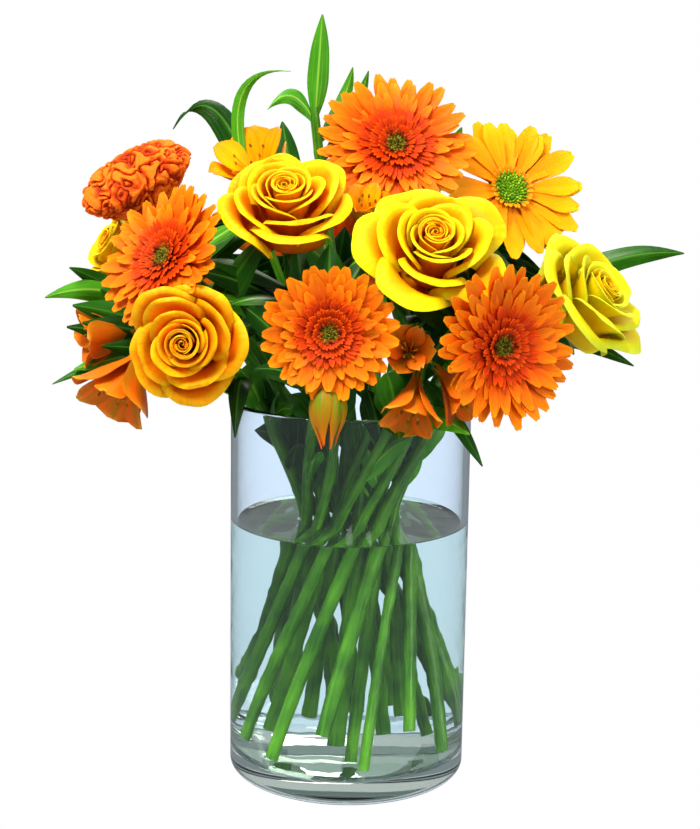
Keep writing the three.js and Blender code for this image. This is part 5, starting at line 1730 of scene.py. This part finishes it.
# ---- studio
@dataclass
class Studio:
    """A white floor, soft light from all sides and the camera, in metres."""

    focal_pixels: float = 1700.0
    picture_height: int = 829  # in pixels
    eye: Place = (0.0, -1.045, 0.428)
    pitch: float = 10.76
    roll: float = 0.86
    sensor: float = 36.0
    floor_size: float = 12.0
    floor_greys: tuple[str, str] = ("#B8BEC8", "#BEC4CE")
    through_glass: str = "#D8E4FA"
    through_strength: float = 1.42
    mirrored_floor: str = "#8A9298"
    front_light: float = 0.2
    top_light: float = 0.75
    lamps: tuple[tuple[str, Place, float, float], ...] = (
        ("key", (-0.5, -0.6, 1.6), 0.6, 40.0), ("fill", (1.2, -1.2, 0.9), 0.6, 12.0),
        ("back", (0.3, 1.4, 1.4), 0.8, 14.0))
    lamp_colour: str = "#FFF6E8"
    aim: Place = (0.0, 0.0, 0.25)

    def build(self) -> None:
        """Make the floor, the lights and the camera."""
        self.add_floor()
        self.add_lights()
        self.add_camera()
        bpy.context.scene.view_settings.view_transform = "Standard"

    def by_ray(self, sheet: NodeSheet, source: str, plain: Socket, mirrored: Socket) -> Socket:
        """Choose a shader by what looks at it.

        Args:
            sheet: The tree that takes the shaders.
            source: Blender's name for the type of shader that shines.
            plain: What lights the bouquet.
            mirrored: What its glossy surfaces show.

        Returns:
            The shader: white to the camera, and cool where it is seen straight through glass.
        """
        white = sheet.node(source, {"Color": "#FFFFFF"})
        cool = sheet.node(source, {"Color": self.through_glass, "Strength": self.through_strength})
        ray = add_node(sheet.tree, "ShaderNodeLightPath").outputs
        bounced = sheet.math("ADD", ray["Diffuse Depth"], ray["Glossy Depth"])
        straight = sheet.math("SUBTRACT", ray["Is Transmission Ray"], bounced, use_clamp=True)
        mirror = sheet.math("MINIMUM", ray["Glossy Depth"], 1.0)
        chosen = plain
        for share, shader in ((mirror, mirrored), (straight, cool), (ray["Is Camera Ray"], white)):
            chosen = sheet.node("ShaderNodeMixShader", {0: share, 1: chosen, 2: shader})
        return chosen

    def add_floor(self) -> None:
        """A floor that looks white to the camera and throws back a soft grey light."""
        sheet = MaterialSheet("paper_white")
        grey = sheet.blend(sheet.body_noise(300.0), *self.floor_greys)
        matt = sheet.node("ShaderNodeBsdfDiffuse", {"Color": grey})
        dark = sheet.node("ShaderNodeEmission", {"Color": self.mirrored_floor})
        add_node(sheet.tree, "ShaderNodeOutputMaterial", {
            "Surface": self.by_ray(sheet, "ShaderNodeEmission", matt, dark)})
        half = self.floor_size / 2
        mesh = bpy.data.meshes.new("studio_floor")
        mesh.from_pydata([(-half, -half, 0), (half, -half, 0), (half, half, 0), (-half, half, 0)],
                         [], [(0, 1, 2, 3)])
        mesh.materials.append(sheet.material)
        floor = new_object("studio_floor", mesh)

    def add_lights(self) -> None:
        """A world that is brighter from above and behind, and three warm square lamps."""
        scene = bpy.context.scene
        scene.world = bpy.data.worlds.new("studio")
        scene.world.use_nodes = True
        sheet = NodeSheet(scene.world.node_tree)
        sheet.tree.nodes.clear()
        way = sheet.node("ShaderNodeTexCoord", out="Generated")
        lean = sheet.vectors("DOT_PRODUCT", way, (0.0, 0.7, 0.7), out="Value")
        strength = sheet.mapped(lean, (-0.7, 0.7), (self.front_light, self.top_light))
        room = sheet.node("ShaderNodeBackground", {"Color": "#F6F6F6", "Strength": strength})
        add_node(sheet.tree, "ShaderNodeOutputWorld", {
            "Surface": self.by_ray(sheet, "ShaderNodeBackground", room, room)})
        for name, place, size, power in self.lamps:
            lamp = bpy.data.lights.new(name, "AREA")
            lamp.energy = power
            lamp.size = size
            lamp.color = linear(self.lamp_colour)[:3]
            lit = new_object(name, lamp)
            lit.location = place
            aim = Vector(self.aim) - Vector(place)
            lit.rotation_euler = aim.to_track_quat("-Z", "Y").to_euler()

    def add_camera(self) -> None:
        """The camera of the picture: its place, its turn and its field of view."""
        data = bpy.data.cameras.new("camera")
        data.sensor_width = self.sensor
        data.lens = self.focal_pixels * self.sensor / self.picture_height
        data.shift_x = -1 / self.picture_height  # the picture's middle lies one pixel aside
        tilt, roll = math.radians(self.pitch), math.radians(self.roll)
        right = np.array([1.0, 0, 0])
        ahead = np.array([0, math.cos(tilt), -math.sin(tilt)])
        up = np.array([0, math.sin(tilt), math.cos(tilt)])
        turned = right * math.cos(roll) + up * math.sin(roll)
        raised = up * math.cos(roll) - right * math.sin(roll)
        matrix = np.eye(4)
        matrix[:3] = np.column_stack([turned, raised, -ahead, self.eye])
        camera = new_object("camera", data)
        camera.matrix_world = Matrix(matrix.tolist())
        bpy.context.scene.camera = camera


# ---- the bouquet
# Millimetres, in the vase's frame; a bloom's facing is the way that its open face looks.
STEMS: tuple[Stem, ...] = (
    Rose("rose_centre", at=(46, -84, 348), facing=(0.06, -0.74, 0.67),
         bloom=33.8, spread=1, seed=11, leaves=(
             Leaf(292, (33, -82, 298)), Leaf(300, (66, -66, 300)),
             FreeLeaf(290, (76, -84, 312), width=18, face=(0, -1, 0.6)),
             FreeLeaf(284, (20, -80, 318), width=15, face=(0, -1, 0.6)),
         )),
    Rose("rose_left", at=(-95, -97, 287), facing=(-0.1, -0.99, 0.08),
         bloom=29.44, spread=0.15, tint=RoseTint.GOLD, seed=21, leaves=(
             Leaf(250, (-67, -80, 230), (-66, -70, 275)), Leaf(196, (-30, -57, 222)),
             FreeLeaf(236, (-66, -58, 266), width=20), FreeLeaf(228, (-44, -66, 250), width=16),
         )),
    Rose("rose_top", at=(-40, -56, 371), facing=(-0.02, -0.6, 0.8),
         bloom=34, spread=0.25, tint=RoseTint.SUN, seed=31, leaves=(
             Leaf(306, (-88, -60, 330), width=14), Leaf(300, (-70, -72, 306)),
             Leaf(312, (-26, -66, 326)),
             FreeLeaf(296, (-90, -68, 325), width=16, face=(0, -1, 0.6)),
             FreeLeaf(284, (-92, -76, 312), width=13, face=(0, -1, 0.6)),
         )),
    Rose("rose_right", at=(152, -16, 312), facing=(0.66, -0.42, 0.62),
         bloom=35, spread=0.7, tint=RoseTint.LIME, seed=41, leaves=(
             Leaf(200, (60, -8, 226)),
         )),
    Rose("rose_side", at=(-152, 26, 333), facing=(-0.8, -0.3, 0.52),
         bloom=28, spread=0.2, seed=51, leaves=(
             Leaf(198, (-60, 6, 224)), Leaf(270, (-132, 40, 292)),
         )),
    Rose("rose_back", at=(72, 92, 302), facing=(0.5, 0.76, 0.42),
         bloom=33, spread=0.4, tint=RoseTint.SUN, seed=61, leaves=(
             Leaf(240, (92, 78, 262)), Leaf(200, (34, 50, 226)),
         )),
    Gerbera("gerbera_front", at=(-13, -97, 294), facing=(0.02, -0.98, 0.14),
            head=38, cup=6, seed=71),
    Gerbera("gerbera_right", at=(84, -87.5, 287), facing=(0.5, -0.86, 0.08),
            head=46, cup=10, seed=81),
    Gerbera("gerbera_left", at=(-109, -56, 331), facing=(-0.56, -0.68, 0.45),
            head=44, cup=5, seed=91),
    Gerbera("gerbera_top", at=(25, 10, 395.5), facing=(0.06, -0.86, 0.5),
            head=48, cup=2, seed=101),
    Gerbera("gerbera_amber", at=(97, 24, 369), facing=(0.28, -0.84, 0.46),
            head=48, cup=3, single=True, seed=111),
    Gerbera("gerbera_back", at=(-14, 108.5, 316), facing=(-0.08, 0.88, 0.46),
            head=44, cup=6, seed=121),
    Spray("alstroemeria_left", end=(-107, -34, 262), seed=131, blooms=(
        Bloom((-141, -72, 247), (-0.42, -0.5, -0.75), 26.45, 46.2),
        Bloom((-162, -36, 280), (-0.86, -0.3, -0.1), 20, 38),
    ), leaves=(
        Leaf(256, (-177, -70, 259), (-140, -66, 322), width=7),
        Leaf(250, (-100, -66, 246), (-84, -52, 272)), FreeLeaf(250, (-118, -62, 300), width=16),
    )),
    Spray("alstroemeria_front", end=(-24, -70, 268), seed=141, blooms=(
        Bloom((-13, -108, 232), (0.02, -0.3, -0.95), 10, 40, bud=True),
    ), leaves=(
        Leaf(190, (-18, -62, 218)), FreeLeaf(262, (-66, -62, 306), width=16),
        FreeLeaf(255, (-46, -80, 294), width=14),
    )),
    Spray("alstroemeria_right", end=(42, -54, 262), seed=151, blooms=(
        Bloom((33, -96, 243), (-0.15, -0.62, -0.77), 19, 36),
        Bloom((69, -84, 252), (0.62, -0.5, -0.6), 18, 34),
        Bloom((32, -96, 286), (-0.04, -0.95, 0.25), 15, 25),
    ), leaves=(
        Leaf(262, (77, -76, 214), width=11), Leaf(194, (36, -52, 226)),
        FreeLeaf(236, (20, -70, 268), width=17), FreeLeaf(230, (40, -74, 258), width=16),
        FreeLeaf(240, (68, -92, 236), width=14), FreeLeaf(232, (28, -90, 232), width=14),
        FreeLeaf(258, (62, -100, 306), width=16),
    )),
    Spray("alstroemeria_middle", end=(7, -30, 335), amber=True, seed=161, blooms=(
        Bloom((7, -44, 368), (0, -0.5, 0.86), 15, 30),
    ), leaves=(
        Leaf(322, (3, -62, 354)), Leaf(310, (-10, -66, 330), width=15), Leaf(300, (28, -70, 316)),
        FreeLeaf(318, (12, -56, 362), width=9, face=(0.4, -1, 0.2)),
    )),
    Spray("alstroemeria_top", end=(-58, 22, 345), amber=True, fresh_share=0.35, seed=171, blooms=(
        Bloom((-66, 8, 392), (-0.3, -0.5, 0.8), 27, 42),
    ), leaves=(
        Leaf(334, (-112, 15, 404), (-86, 66, 452), width=18),
        Leaf(338, (-40, 12, 440), (-98, 66, 448), width=6), Leaf(298, (-62, -36, 322), width=17),
        FreeLeaf(338, (-40, 12, 440), (-98, 40, 444), width=8, face=(0, -1, 0.2)),
    )),
    Spray("alstroemeria_back", end=(-60, 50, 266), seed=181, blooms=(
        Bloom((-98, 88, 300), (-0.6, 0.72, 0.34), 23, 40),
        Bloom((-78, 84, 346), (-0.45, 0.5, 0.74), 22, 40),
    ), leaves=(
        Leaf(200, (-40, 44, 226)), Leaf(280, (-104, 60, 268)),
    )),
    Cockscomb("cockscomb", at=(-131, 0, 371), facing=(-0.4, -0.22, 0.89),
              size=(22, 40, 21), seed=191),
    Stem("shoot_top", end=(-26, 26, 418), seed=201, fresh_share=0.9, leaves=(
        FrontLeaf(412, (-21, 20, 474), width=13, arch=2),
        FrontLeaf(408, (-54, 20, 416), width=11, arch=26),
        FrontLeaf(394, (-2, 44, 443), (-6, 52, 420), width=9),
        FrontLeaf(384, (8, 50, 441), (2, 62, 416), width=9),
        FrontLeaf(316, (-40, -34, 342), width=17), FrontLeaf(290, (-2, -46, 318), width=16),
    )),
    Stem("shoot_left", end=(-132, -6, 298), seed=211, leaves=(
        FrontLeaf(292, (-183, -40, 305), (-150, -14, 316), width=15),
        FrontLeaf(288, (-170, -30, 322), (-150, -8, 312), width=12),
        FrontLeaf(286, (-150, -40, 268), width=12, arch=6), FrontLeaf(198, (-58, -26, 224)),
        FreeLeaf(272, (-166, -44, 301), width=20), FreeLeaf(266, (-160, -47, 291), width=20),
        FreeLeaf(262, (-172, -30, 286), width=20), FreeLeaf(268, (-166, -42, 262), width=18),
        FreeLeaf(275, (-178, -48, 254), width=9), FreeLeaf(255, (-148, -52, 278), width=18),
        FreeLeaf(285, (-153, -20, 308), width=16),
    )),
    Stem("shoot_right", end=(128, 34, 308), seed=221, leaves=(
        FrontLeaf(304, (206, 14, 332), (168, 52, 332), width=15),
        FrontLeaf(300, (172, 44, 300), width=14), FrontLeaf(286, (128, 72, 312), width=13),
        FrontLeaf(200, (52, 30, 228)), FreeLeaf(290, (152, 28, 282), width=18),
        FreeLeaf(280, (134, 16, 298), width=16), FreeLeaf(285, (176, 4, 262), width=12),
    )),
    Stem("shoot_back_right", end=(52, 70, 366), seed=231, leaves=(
        Leaf(362, (70, 84, 406), width=16, arch=4), Leaf(340, (98, 86, 358), width=15),
        Leaf(330, (22, 104, 362), width=15), Leaf(316, (30, 84, 330), width=14),
    )),
    Stem("shoot_back_left", end=(-40, 72, 362), seed=241, leaves=(
        Leaf(358, (-48, 84, 408), width=16, arch=4), Leaf(340, (-88, 76, 386), width=15),
        Leaf(332, (-4, 96, 372), width=15), Leaf(300, (-56, 110, 300), width=14),
    )),
)
FOLIAGE: tuple[Foliage, ...] = (
    Foliage("leaves_between_blooms", 130, (246, 318), (10, 40), (56, 104), (14, 22), seed=71),
    Foliage("leaves_at_rim", 34, (214, 240), (8, 34), (44, 66), (12, 18), seed=72),
    Foliage("leaves_in_neck", 26, (176, 206), (22, 46), (24, 46), (10, 14), seed=73, arch=2.0),
)


def main() -> None:
    """Build the studio, the vase and its water, then every stem with its bloom."""
    logging.basicConfig(level=logging.INFO, format="%(name)s: %(message)s")
    Studio().build()
    vase = GlassVase()
    vase.build()
    VaseWater().build(vase)
    trees = Trees(WhorlTree(), StalkTree(), CrestTree())
    paths = [stem.build(trees) for stem in STEMS]
    for stem in STEMS:
        stem.build_head(trees)
    for leaves in FOLIAGE:
        leaves.build(paths)


if __name__ == "__main__":
    main()
